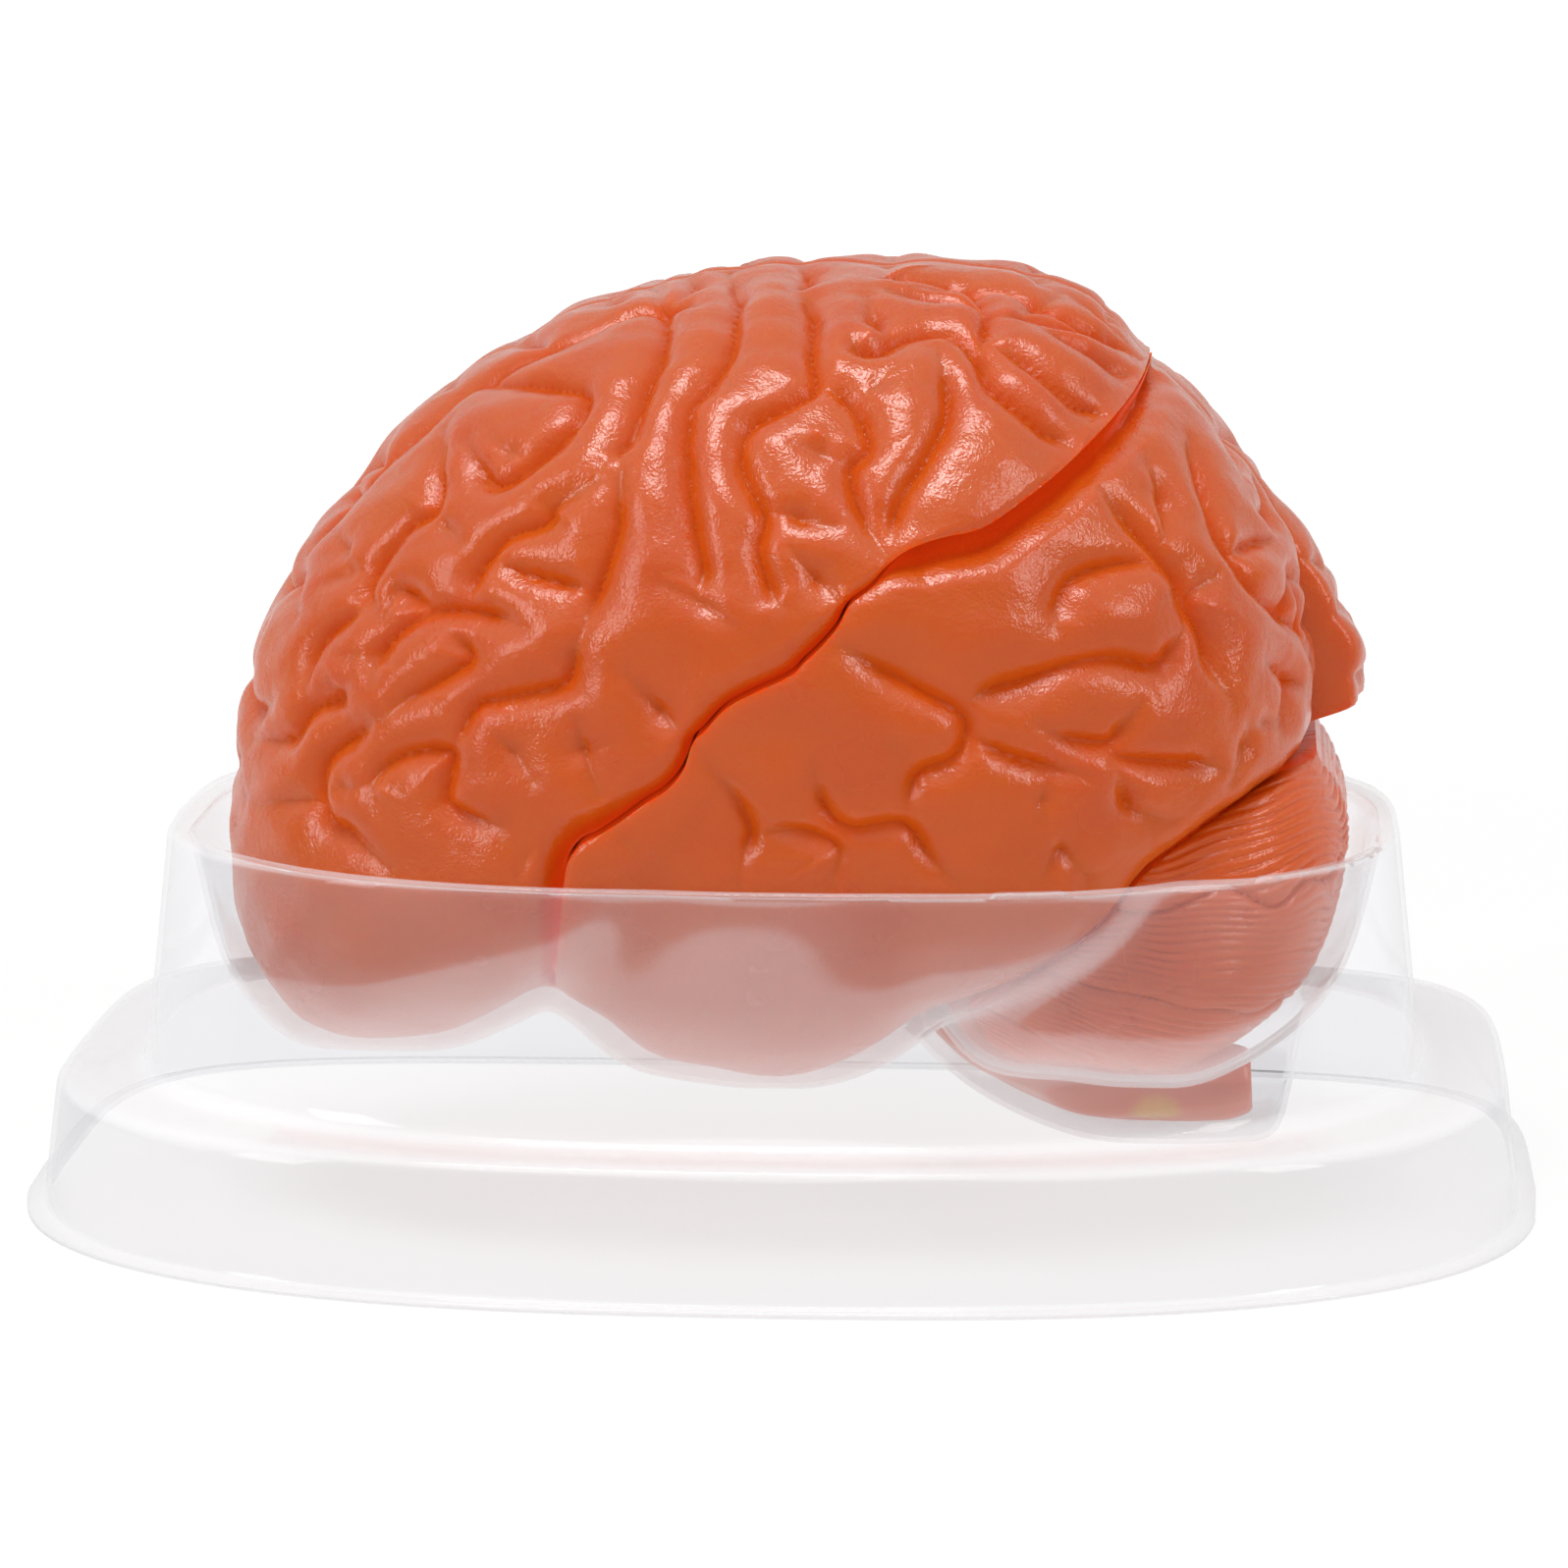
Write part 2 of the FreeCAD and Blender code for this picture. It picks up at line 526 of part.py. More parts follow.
class Piece:
    """A left piece: a bulging outer face between two edge curves, walls across to the midline, and a
    flat midline face."""

    def __init__(self, lobe, upper, lower, size, lines, rims):
        self.lobe = lobe
        self.lines = lines
        self.rims = rims
        columns = max(8, round(sum(math.dist(a[:2], b[:2]) for a, b in zip(lower, lower[1:])) / size))
        tops, lows = spread([p[:2] for p in upper], columns), spread([p[:2] for p in lower], columns)
        self.points = []
        self.faces = []
        self.on_furrow = []
        grid = []
        for n, (a, b) in enumerate(zip(tops, lows)):
            last = n in (0, columns)
            flat = self.chord(a, b, 1 if last else None, size)
            column = []
            for k, (x, z) in enumerate(flat):
                place = "upper" if k == 0 else "lower" if k == len(flat) - 1 else "inside"
                column.append(self.add(x, z, place, size, (a, b)))
            if last:
                column = column[:1]
            grid.append(column)
        for left, right in zip(grid, grid[1:]):
            self.faces += stitched(left, right, self.points)
        self.edge_upper = [column[0] for column in grid]
        self.edge_lower = [column[-1] for column in grid]
        self.close()

    def chord(self, a, b, count, size):
        """Places along the line from a to b, evenly spaced over the bulging surface."""
        fine = []
        for k in range(41):
            t = k / 40
            x, z = a[0] + (b[0] - a[0]) * t, a[1] + (b[1] - a[1]) * t
            fine.append((x, z, self.lobe.bulge(x, z)))
        length = sum(math.dist(p, q) for p, q in zip(fine, fine[1:]))
        return [p[:2] for p in spread(fine, count or max(1, round(length / size)))]

    def add(self, x, z, place, size, ends):
        lobe = self.lobe
        if place == "inside":
            p = (x, -lobe.bulge(x, z), z)
            near = [nearest_on(crease.line, p)[:2] for crease in self.lines if crease.near(p)]
            distance, spot = min(near, default=(1e9, p))
            clear = all(math.dist(spot[::2], e) > 0.6 * size for e in ends)
            clear = clear and all(math.dist(spot, q) > 0.4 * size for q in self.on_furrow)
            if distance < 0.45 * size and clear:
                self.on_furrow.append(spot)
                x, z = spot[0], spot[2]
        p = (x, -lobe.bulge(x, z), z)
        depth = self.furrow(p)
        if place == "upper":
            move = (0.0, 1.0, 0.0)
        elif place == "lower":
            r = max(math.hypot(x - lobe.centre[0], z - lobe.centre[1]), 1e-9)
            move = ((lobe.centre[0] - x) / r, 0.0, (lobe.centre[1] - z) / r)
        else:
            move = lobe.inward(x, z)
        self.points.append(tuple(p[k] + depth * move[k] for k in range(3)))
        return len(self.points) - 1

    def furrow(self, p):
        deepest = 0.0
        for crease in self.lines:
            if crease.near(p):
                distance = nearest_on(crease.line, p)[0]
                deepest = max(deepest, crease.depth * pillow(distance, furrow_width))
        for line, keys in self.rims:
            distance, place, along = nearest_on(line, p)
            width, depth = rim_at(keys, along / (len(line) - 1))
            deepest = max(deepest, depth * pillow(distance, width))
        return deepest

    def close(self):
        """Walls across to the midline, and the flat midline face."""
        middle = {}
        last = len(self.edge_lower) - 1
        for n, i in enumerate(self.edge_lower):
            x, y, z = self.points[i]
            inset = midline_round * (1 - soft_step((-y - midline_round_reach) / midline_round_fade))
            inset *= soft_step(min(n, last - n) / 4)
            r = math.hypot(x - self.lobe.centre[0], z - self.lobe.centre[1])
            x -= inset * (x - self.lobe.centre[0]) / r
            z -= inset * (z - self.lobe.centre[1]) / r
            self.points.append((x, -midline_gap / 2, z))
            middle[i] = len(self.points) - 1
        for i in self.edge_upper[1:-1]:
            x, y, z = self.points[i]
            self.points.append((x, -midline_gap / 2, z))
            middle[i] = len(self.points) - 1
        for i, j in zip(self.edge_upper, self.edge_upper[1:]):
            self.faces.append((i, j, middle[j], middle[i]))
        for i, j in zip(self.edge_lower, self.edge_lower[1:]):
            self.faces.append((i, j, middle[j]))
            self.faces.append((i, middle[j], middle[i]))
        loop = [middle[i] for i in self.edge_upper] + [middle[i] for i in reversed(self.edge_lower[1:-1])]
        self.faces.append(tuple(loop))

    def solid(self, right=False):
        points = [fitted(p) for p in self.points]
        if right:
            points = [far_side(p) for p in points]
        return solid_from(points, self.faces)


def far_side(point):
    """The right side mirrors the left, with an occipital pole that reaches further back low down."""
    x, y, z = point
    top = traced(0, 0, z)[2]
    grow = far_pole_growth * soft_step((x - far_pole_start) / far_pole_span)
    grow *= soft_step((top - far_pole_floor) / far_pole_ramp)
    grow *= 1 - soft_step((top - far_pole_top) / far_pole_fade)
    return x + grow, -y, z


def nearest_number(loop, place):
    return min(range(len(loop)), key=lambda i: math.dist(loop[i][:2], place))


def between(loop, first, last):
    """Points of a closed loop from one number to another, going forward."""
    out = [loop[first]]
    while first != last:
        first = (first + 1) % len(loop)
        out.append(loop[first])
    return out


def rolled_edges():
    """How the edges of the upper and the lower piece roll in along the cut: share of its length,
    width and depth. The upper piece rolls in up to the step, and the lower one beyond it."""
    upper = [
        (0.0, lip_width, lip_depth), (0.2, lip_width * 0.75, fissure_depth),
        (0.6, fissure_width, fissure_depth),
        (0.76, edge_width, edge_depth), (1.0, edge_width, edge_depth)]
    lower = [
        (0.0, edge_width, edge_depth), (0.62, edge_width, edge_depth),
        (0.69, wedge_width * 0.5, wedge_depth * 0.3), (0.76, wedge_width, wedge_depth),
        (0.93, wedge_width, wedge_depth), (1.0, wedge_width, wedge_depth * 0.6)]
    return upper, lower


def cerebrum_pieces():
    """Left frontoparietal and left temporo-occipital pieces."""
    fissure = [cerebrum.land(px, py) for px, py in lip_trace + seam_trace]
    shift = seam_gap / math.sqrt(2)
    upper = [(p[0], p[2]) for p in fissure]
    lower = [(p[0] + shift, p[2] - shift) for p in fissure]
    loop = smooth_curve([(*sight(px, py, d), float(d)) for px, py, d in cerebrum_trace], 12, True)
    pieces = []
    lines = furrow_lines()
    for edge, keys, is_upper in zip((upper, lower), rolled_edges(), (True, False)):
        start = nearest_number(loop, edge[0])
        end = nearest_number(loop, edge[-1])
        if is_upper:
            rim = between(loop, start, end)
        else:
            rim = between(loop, end, start)[::-1]
        cut = [loop[start][:2]] + edge[1:-1] + [loop[end][:2]]
        pieces.append(Piece(cerebrum, cut, rim, facet_size, lines, [(fissure, keys)]))
    return pieces


def cerebellum_piece():
    top = outline(cerebellum_top_trace, False)
    low = outline(cerebellum_low_trace[::-1], False)
    return Piece(cerebellum, top, low, small_facet_size, [], [])


def stem_solid(growth):
    """Half of the brainstem: rounded sections set across the middle line."""
    stations = smooth_curve(stem_line, 2)
    ribs = 8
    points = []
    rows = []
    for n, (x, z, r) in enumerate(stations):
        a = stations[max(n - 1, 0)]
        b = stations[min(n + 1, len(stations) - 1)]
        size = math.hypot(b[0] - a[0], b[1] - a[1])
        nx, nz = (b[1] - a[1]) / size, -(b[0] - a[0]) / size
        x -= growth * nz if n == 0 else 0
        row = []
        for k in range(ribs + 1):
            t = math.pi * k / ribs
            c, s = math.cos(t), math.sin(t)
            reach = r + growth
            y = -max(reach * s * 1.05, 0.0) - midline_gap / 2
            points.append((x + nx * reach * c, y, z + nz * reach * c))
            row.append(len(points) - 1)
        rows.append(row)
    faces = []
    for a, b in zip(rows, rows[1:]):
        for k in range(ribs):
            faces.append((a[k], b[k], b[k + 1]))
            faces.append((a[k], b[k + 1], a[k + 1]))
    faces.append(tuple(rows[0]))
    faces.append(tuple(rows[-1]))
    faces.append(tuple([row[0] for row in rows] + [row[-1] for row in reversed(rows)]))
    return solid_from([fitted(p) for p in points], faces)


def crossings(loop, x):
    """Lowest and highest place where an outline crosses an upright line, or None."""
    found = []
    for (ax, az, ae), (bx, bz, be) in zip(loop, loop[1:] + loop[:1]):
        if (ax <= x) != (bx <= x):
            found.append(az + (bz - az) * (x - ax) / (bx - ax))
    return (min(found), max(found)) if found else None


def underside(lobe, loop, x, y):
    """Height of a lobe's underside over a place, or None beside the lobe."""
    ends = crossings(loop, x)
    if ends is None:
        return None
    low, top = ends
    steps = 16
    if lobe.bulge(x, low + 0.01) >= abs(y):
        return low
    for k in range(1, steps + 1):
        z = ends[0] + (top - ends[0]) * k / steps
        if lobe.bulge(x, z) >= abs(y):
            high = z
            for _ in range(20):
                half = (low + high) / 2
                if lobe.bulge(x, half) >= abs(y):
                    high = half
                else:
                    low = half
            return high
        low = z
    return None


def stem_underside(x):
    """Lowest height of the brainstem at x, or None."""
    found = [z - math.sqrt(r * r - (x - sx) ** 2) for sx, z, r in smooth_curve(stem_line, 6)
             if abs(x - sx) < r]
    return min(found) if found else None


def pocket_height(x, y):
    """Height of the pocket's face over a place of the stand, or None outside the pocket."""
    y = max(abs(y) - pocket_side_clearance, 0.0)
    found = []
    for step in (-pocket_end_clearance, 0.0, pocket_end_clearance):
        place = traced(x + step, y, 0)
        found.append(underside(cerebrum, CEREBRUM_LOOP, *place[:2]))
        found.append(underside(cerebellum, CEREBELLUM_LOOP, *place[:2]))
    found = [h for h in found if h is not None]
    if not found:
        return None
    return fitted((x, y, min(found)))[2] - pocket_floor_clearance


def well_height(x):
    """Height of the well for the brainstem along the middle of the stand."""
    floor = pocket_height(x, 0.0)
    low = stem_underside(traced(x, 0, 0)[0])
    if low is None:
        return floor
    return min(floor, fitted((0, 0, low))[2] - well_clearance)


def mouth_reach(x, sign):
    """How far the pocket's mouth reaches across at x."""
    inside, outside = 0.0, 100.0
    for _ in range(30):
        half = (inside + outside) / 2
        h = pocket_height(x, sign * half)
        if h is not None and h < rim_height:
            inside = half
        else:
            outside = half
    return inside


def mouth_end(sign):
    inside, outside = 0.0, 140.0
    for _ in range(30):
        half = (inside + outside) / 2
        h = pocket_height(sign * half, 0.0)
        if h is not None and h < rim_height:
            inside = half
        else:
            outside = half
    return sign * inside


def ring_point(direction, half_length, half_depth, front, back):
    """Point of a rounded plan outline in a direction from the middle."""
    c, s = math.cos(direction), math.sin(direction)
    power = front if s < 0 else back
    r = ((abs(c) / half_length) ** power + (abs(s) / half_depth) ** power) ** (-1 / power)
    return r * c, r * s


def tray_solid():
    """The clear stand, formed from one sheet: flange, plinth, ledge, tub and the pocket for the brain."""
    left_end, right_end = mouth_end(-1), mouth_end(1)
    middle, half = (left_end + right_end) / 2, (right_end - left_end) / 2
    points = []
    columns = []
    for n in range(stand_stations + 1):
        x = middle - half * math.cos(math.pi * n / stand_stations)
        if n in (0, stand_stations):
            points.append((x, 0.0, rim_height))
            columns.append([len(points) - 1])
            continue
        reach = mouth_reach(x, 1)
        shoulder = min(well_mouth_width / 2, 0.4 * reach)
        fine = []
        for k in range(41):
            y = -reach + (reach - shoulder) * k / 40
            h = rim_height if k == 0 else min(pocket_height(x, y) or rim_height, rim_height)
            fine.append((x, y, h))
        length = sum(math.dist(p, q) for p, q in zip(fine, fine[1:]))
        near = spread(fine, max(2, round(length / stand_facet_size)))
        trough = shoulder * well_floor_width / well_mouth_width
        centre = [(x, y, well_height(x)) for y in (-trough, 0.0, trough)]
        column = []
        for p in near + centre + [(px, -py, pz) for px, py, pz in reversed(near)]:
            points.append(p)
            column.append(len(points) - 1)
        columns.append(column)
    pocket = []
    for a, b in zip(columns, columns[1:]):
        pocket += stitched(a, b, points)
    mouth = [c[0] for c in columns] + [c[-1] for c in reversed(columns[1:-1])]

    # Lower skin of the pocket, one sheet thickness below the upper one
    normals = [[0.0, 0.0, 0.0] for _ in points]
    for a, b, c in pocket:
        u = [points[b][k] - points[a][k] for k in range(3)]
        v = [points[c][k] - points[a][k] for k in range(3)]
        n = [u[1] * v[2] - u[2] * v[1], u[2] * v[0] - u[0] * v[2], u[0] * v[1] - u[1] * v[0]]
        if n[2] < 0:
            n = [-w for w in n]
        for i in (a, b, c):
            for k in range(3):
                normals[i][k] += n[k]
    under = {}
    count = len(points)
    for i in range(count):
        x, y, z = points[i]
        size = math.sqrt(sum(w * w for w in normals[i])) or 1.0
        if i in mouth:
            size_xy = math.hypot(x, y)
            points.append((x + sheet * x / size_xy, y + sheet * y / size_xy, rim_height - sheet))
        else:
            points.append(tuple(points[i][k] - sheet * normals[i][k] / size for k in range(3)))
        under[i] = len(points) - 1
    faces = pocket + [tuple(under[i] for i in face) for face in pocket]

    # Rings from the rim down to the flange, as (end reach, side reach, height) with their roundness
    end = max(-left_end, right_end) + end_lip
    side = max(abs(points[i][1]) for i in mouth) + side_lip
    foot_end = end + tub_draft
    foot_side = side + tub_draft
    plinth_end = foot_end + ledge_end_width
    plinth_side = foot_side + ledge_side_width
    base_end = plinth_end + plinth_draft
    base_side = plinth_side + plinth_draft
    tub = (front_roundness, back_roundness)
    plinth = (plinth_front_roundness, plinth_back_roundness)
    top_rings = [
        (end, side, rim_height, tub), (foot_end, foot_side, plinth_height, tub),
        (plinth_end, plinth_side, plinth_height, plinth), (base_end, base_side, sheet, plinth),
        (base_end + flange_width, base_side + flange_width, sheet, plinth),
        (base_end + flange_width, base_side + flange_width, 0.0, plinth)]
    low_rings = [
        (end - sheet, side - sheet, rim_height - sheet, tub),
        (foot_end - sheet, foot_side - sheet, plinth_height - sheet, tub),
        (plinth_end - sheet, plinth_side - sheet, plinth_height - sheet, plinth),
        (base_end - sheet, base_side - sheet, 0.0, plinth)]
    directions = [math.atan2(points[i][1], points[i][0]) for i in mouth]
    upper_rows, lower_rows = [mouth], [[under[i] for i in mouth]]
    for rings, rows in ((top_rings, upper_rows), (low_rings, lower_rows)):
        for reach_x, reach_y, height, roundness in rings:
            row = []
            for direction in directions:
                x, y = ring_point(direction, reach_x, reach_y, *roundness)
                points.append((x, y, height))
                row.append(len(points) - 1)
            rows.append(row)
    n = len(mouth)
    for rows in (upper_rows, lower_rows):
        for a, b in zip(rows, rows[1:]):
            for k in range(n):
                m = (k + 1) % n
                faces.append((a[k], b[k], b[m]))
                faces.append((a[k], b[m], a[m]))
    a, b = upper_rows[-1], lower_rows[-1]
    for k in range(n):
        m = (k + 1) % n
        faces.append((a[k], b[k], b[m], a[m]))
    return solid_from(points, faces)


def side_of(shape, right):
    """A left shape as it is, or mirrored to the right."""
    if not right:
        return shape
    return shape.mirror(FreeCAD.Vector(0, 0, 0), FreeCAD.Vector(0, 1, 0))


def peg(x, y, z, diameter, length):
    """Upright cylinder with its middle at a point."""
    return Part.makeCylinder(diameter / 2, length, FreeCAD.Vector(x, y, z - length / 2))


def disc(place, diameter, thickness, recess):
    """Flat cylinder let into the left midline face."""
    face = -midline_gap / 2 - recess
    x, y, z = fitted((place[0], 0.0, place[1]))
    start = FreeCAD.Vector(x, face - thickness, z)
    return Part.makeCylinder(diameter / 2, thickness, start, FreeCAD.Vector(0, 1, 0))


def magnets(places):
    return [disc(place, magnet_diameter, magnet_thickness, magnet_recess) for place in places]


def magnet_seats(places):
    return [disc(place, magnet_diameter + 2 * magnet_clearance,
                 magnet_thickness + magnet_recess + magnet_clearance, -magnet_clearance) for place in places]


def seam_height(points, x):
    """Height of the cut between the two cerebral pieces at x."""
    line = sorted((p[0], p[2]) for p in points)
    for (ax, az), (bx, bz) in zip(line, line[1:]):
        if ax <= x <= bx:
            return az + (bz - az) * (x - ax) / max(bx - ax, 1e-9)
    return line[-1][1]


def stem_slot():
    """Upright hollow in the temporo-occipital piece that the brainstem stands in."""
    stations = [(fitted((x - r, 0, z)), fitted((x + r, 0, z + r))) for x, z, r in stem_line[:5]]
    front = min(a[0] for a, b in stations) - stem_slot_play
    back = max(b[0] for a, b in stations) + stem_slot_back_play
    top = fitted((0, 0, stem_line[0][1]))[2] + 2 + stem_clearance
    return Part.makeBox(back - front, stem_slot_width, top, FreeCAD.Vector(front, -stem_slot_width / 2, 0))


def group(shapes):
    return shapes[0] if len(shapes) == 1 else Part.makeCompound(shapes)


def export(shape, node):
    shape.exportStep("parts/%s.step" % node)


def main():
    os.makedirs("parts", exist_ok=True)
    upper, lower = cerebrum_pieces()
    cerebellar = cerebellum_piece()
    seam = [fitted(cerebrum.land(px, py)) for px, py in seam_trace]
    seam_pins = [fitted((x, -y, 0.0))[:2] for x, y in seam_pin_places]
    seam_pins = [(x, y, seam_height(seam, x)) for x, y in seam_pins]
    low = crossings(CEREBRUM_LOOP, cerebellum_pin_place[0])[0]
    cerebellum_pin = fitted((cerebellum_pin_place[0], -cerebellum_pin_place[1], low))
    press = pin_diameter + 2 * pin_press_clearance
    running = pin_diameter + 2 * pin_running_clearance
    slot = stem_slot()
    grown_stem = stem_solid(stem_clearance)
    dowel_seat = disc(dowel_place, dowel_diameter + 2 * pin_press_clearance, dowel_length / 2, 0.0)
    stem = stem_solid(0.0).cut(dowel_seat)
    for right, side in ((False, "left"), (True, "right")):
        def local(shapes):
            return [side_of(shape, right) for shape in shapes]

        frontoparietal = upper.solid(right).cut(
            local([peg(x, y, z, running, pin_length + 1) for x, y, z in seam_pins]
                  + magnet_seats(frontoparietal_magnet_places)))
        temporo_occipital = lower.solid(right).cut(
            local([peg(x, y, z, press, pin_length) for x, y, z in seam_pins]
                  + [peg(*cerebellum_pin, running, pin_length + 1), slot]
                  + magnet_seats(temporo_occipital_magnet_places)))
        cerebellum_half = cerebellar.solid().cut(
            [peg(*cerebellum_pin, press, pin_length), grown_stem] + magnet_seats([cerebellum_magnet_place]))
        nodes = {
            "frontoparietal": frontoparietal,
            "temporo_occipital": temporo_occipital,
            "brainstem": side_of(stem, right),
            "cerebellum": side_of(cerebellum_half, right),
            "seam_pins": group(local([peg(x, y, z, pin_diameter, pin_length) for x, y, z in seam_pins])),
            "cerebellum_pin": group(local([peg(*cerebellum_pin, pin_diameter, pin_length)])),
            "frontoparietal_magnets": group(local(magnets(frontoparietal_magnet_places))),
            "temporo_occipital_magnets": group(local(magnets(temporo_occipital_magnet_places))),
            "cerebellum_magnet": group(local(magnets([cerebellum_magnet_place])))}
        for name, shape in nodes.items():
            export(shape, "%s_%s" % (name, side))
    x, y, z = fitted((dowel_place[0], 0.0, dowel_place[1]))
    start = FreeCAD.Vector(x, -dowel_length / 2, z)
    dowel = Part.makeCylinder(dowel_diameter / 2, dowel_length, start, FreeCAD.Vector(0, 1, 0))
    export(dowel, "brainstem_dowel")
    export(tray_solid(), "tray")


main()
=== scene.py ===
import math
import bmesh
import bpy
import numpy as np
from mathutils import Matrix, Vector


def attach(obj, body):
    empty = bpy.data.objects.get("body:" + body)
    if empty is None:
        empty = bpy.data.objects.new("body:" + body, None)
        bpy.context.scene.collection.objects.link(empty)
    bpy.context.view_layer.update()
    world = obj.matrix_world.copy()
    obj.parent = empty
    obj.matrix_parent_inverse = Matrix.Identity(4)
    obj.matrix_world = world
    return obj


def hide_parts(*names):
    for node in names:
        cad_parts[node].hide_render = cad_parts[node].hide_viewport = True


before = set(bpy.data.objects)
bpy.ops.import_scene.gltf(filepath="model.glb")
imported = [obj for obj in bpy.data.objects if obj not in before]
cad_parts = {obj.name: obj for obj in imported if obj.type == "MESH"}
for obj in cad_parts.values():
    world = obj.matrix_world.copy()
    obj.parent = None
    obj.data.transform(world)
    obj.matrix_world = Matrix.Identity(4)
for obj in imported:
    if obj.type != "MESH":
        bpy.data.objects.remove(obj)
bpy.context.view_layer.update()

# Sizes in millimetres, as in the part
brain_length = 166.4
brain_width = 127.0
brain_height = 119.7
seat_height = 24.8
far_pole_growth = 8.5
far_pole_start = 20.0
far_pole_span = 60.0
far_pole_floor = 72.5
far_pole_ramp = 4.0
far_pole_top = 78.0
far_pole_fade = 36.0
midline_gap = 0.4
midline_round = 3.2
midline_round_reach = 12.0
midline_round_fade = 10.0
seam_gap = 0.5
furrow_depth = 3.2
fine_furrow_depth = 2.2
fissure_width = 5.0
fissure_depth = 4.0
lip_width = 8.0
lip_depth = 5.5
edge_width = 2.0
edge_depth = 0.8
wedge_width = 7.5
wedge_depth = 8.5
cerebrum_middle = (8.0, 88.0)
cerebrum_half_width = 66.0
cerebrum_powers = (2.2, 2.1)
cerebellum_middle = (58.0, 46.0)
cerebellum_half_width = 45.0
cerebellum_powers = (2.3, 2.2)
midbrain_radius = 11.0
pons_radius = 14.0
medulla_radius = 9.0
cord_end_radius = 6.2
stem_line = [
    (21.0, 84.0, midbrain_radius), (19.0, 74.0, midbrain_radius), (13.0, 62.0, pons_radius),
    (14.0, 51.0, pons_radius), (22.0, 40.0, medulla_radius), (33.0, 28.0, medulla_radius),
    (47.0, 19.5, medulla_radius * 0.85), (60.0, 17.0, cord_end_radius), (73.0, 17.5, cord_end_radius)]
pons_middle = 57
pons_reach = 9
pons_ridge = 0.35
pons_ridge_spacing = 3.0
stem_inset = 0.3
stem_clearance = 0.6
stem_slot_width = 32.4
stem_slot_play = 1.5
stem_slot_back_play = 5.0
pin_press_clearance = 0.01
pin_running_clearance = 0.08
magnet_clearance = 0.02
sheet = 0.8
flange_width = 2.6
plinth_height = 20.7
plinth_draft = 2.4
ledge_end_width = 13.0
ledge_side_width = 11.1
rim_height = 58.0
tub_draft = 4.0
end_lip = 4.2
side_lip = 2.4
pocket_end_clearance = 3.4
pocket_side_clearance = 1.3
pocket_floor_clearance = 0.9
well_clearance = 1.2
well_floor_width = 17.0
well_mouth_width = 28.0
front_roundness = 2.45
back_roundness = 3.6
plinth_front_roundness = 2.6
plinth_back_roundness = 5.0

# Soft folds of the skin: domes between furrows with a crease in each, and how furrows run together
dome_reach = 10.0
dome_share = 0.58
crease_reach = 3.8
crease_floor = 0.5
furrow_blend = 2.4
swell = 0.26
# The next five set painted shade and painted glow: the amount on the cut wall at its outer edge and deep
# inside, the extra along the cut edge and its reach, and how far the wall's amount fades
wall_painted_shade = 6.5
wall_painted_shade_inside = 1.8
edge_painted_shade = 3.5
edge_painted_shade_reach = 2.6
wall_glow_reach = 18.0
lip_share = 0.3
lip_fade = 0.1
wedge_share = 0.7
wedge_fade = 0.06
lip_floor = 1.4
furrow_end_share = 0.35
furrow_end_reach = 8.0
swell_waves = (8, 10, 12, 14, 17, 21)
cut_turn_reach = 7.0
band_end_reach = 18.0
midline_round_power = 2.4

# Fine grooves of the cerebellum: where they fan out from, how many in an angle, and the direction and
# depth of each deeper fissure
folia_fan = (6, 50)
folia_count = 62
folia_angle = 1.35
folia_groove = 0.42
folia_fissures = ((0.06, 1.3), (0.30, 0.9), (-0.22, 1.0), (-0.50, 0.9))
folia_fissure_width = 2.2

# The pocket: a height for nowhere, its steepest rise in a millimetre, its smoothing, and its rim
nowhere = 1e3
pocket_slope = 5.0
pocket_limit = 90.0
pocket_blur = 1.3
pocket_blur_play = 0.2
rim_roll = 2.6
rim_edge_round = 1.0

# Steps between a furrow's points, limits of the searches, and rows of points across to the midline
furrow_steps = 5
halvings = 30
search_height = 170.0
search_reach = 120.0
crest_height = 100
side_rows = 24

# Small moulding marks: pixel across, pixel down, radius and height
pimples = [
    (832, 441, 1.1, 0.7), (612, 462, 0.9, 0.5), (504, 727, 0.9, 0.4), (862, 610, 1.0, 0.4),
    (690, 770, 0.8, 0.3)]

# The side view that the traces below were read in: a square of view_side pixels
view_side = 1597
view_pixels_per_radian = 6600.0
view_distance = 1000.0
view_height = 63.0
view_rise = math.radians(10.0)
view_turn = math.radians(4.0)

# Outlines of the left side: pixel across, pixel down, distance from the midline
cerebrum_trace = [
    (234, 800, 8), (240, 730, 7), (256, 655, 6), (292, 575, 5), (345, 500, 5), (412, 425, 5),
    (500, 358, 5), (600, 308, 4), (720, 274, 4), (850, 265, 4), (960, 267, 4), (1060, 280, 4),
    (1130, 312, 4), (1175, 366, 5), (1232, 419, 6), (1285, 487, 8), (1325, 560, 9), (1343, 640, 10),
    (1346, 705, 12), (1325, 762, 20), (1286, 797, 30), (1239, 830, 38), (1173, 884, 45),
    (1115, 950, 46), (1050, 990, 44), (985, 1016, 42), (935, 1032, 40), (880, 1070, 36),
    (810, 1092, 34), (740, 1088, 34), (660, 1070, 34), (600, 1022, 36), (553, 1003, 34),
    (500, 1025, 28), (440, 1048, 24), (375, 1050, 20), (320, 1040, 17), (278, 1000, 14),
    (250, 955, 11), (236, 890, 9)]
cerebellum_top_trace = [
    (988, 1028, 30), (1040, 1000, 40), (1112, 957, 44), (1173, 888, 44), (1239, 835, 38),
    (1300, 790, 28), (1345, 765, 16)]
cerebellum_low_trace = [
    (1345, 765, 16), (1368, 795, 12), (1378, 835, 11), (1374, 885, 12), (1356, 950, 14),
    (1325, 1004, 16), (1262, 1055, 16), (1190, 1086, 16), (1110, 1080, 16), (1040, 1074, 18),
    (1003, 1054, 24), (988, 1028, 30)]
lip_trace = [(560, 1003), (564, 950), (568, 905), (572, 881), (580, 868), (590, 859)]
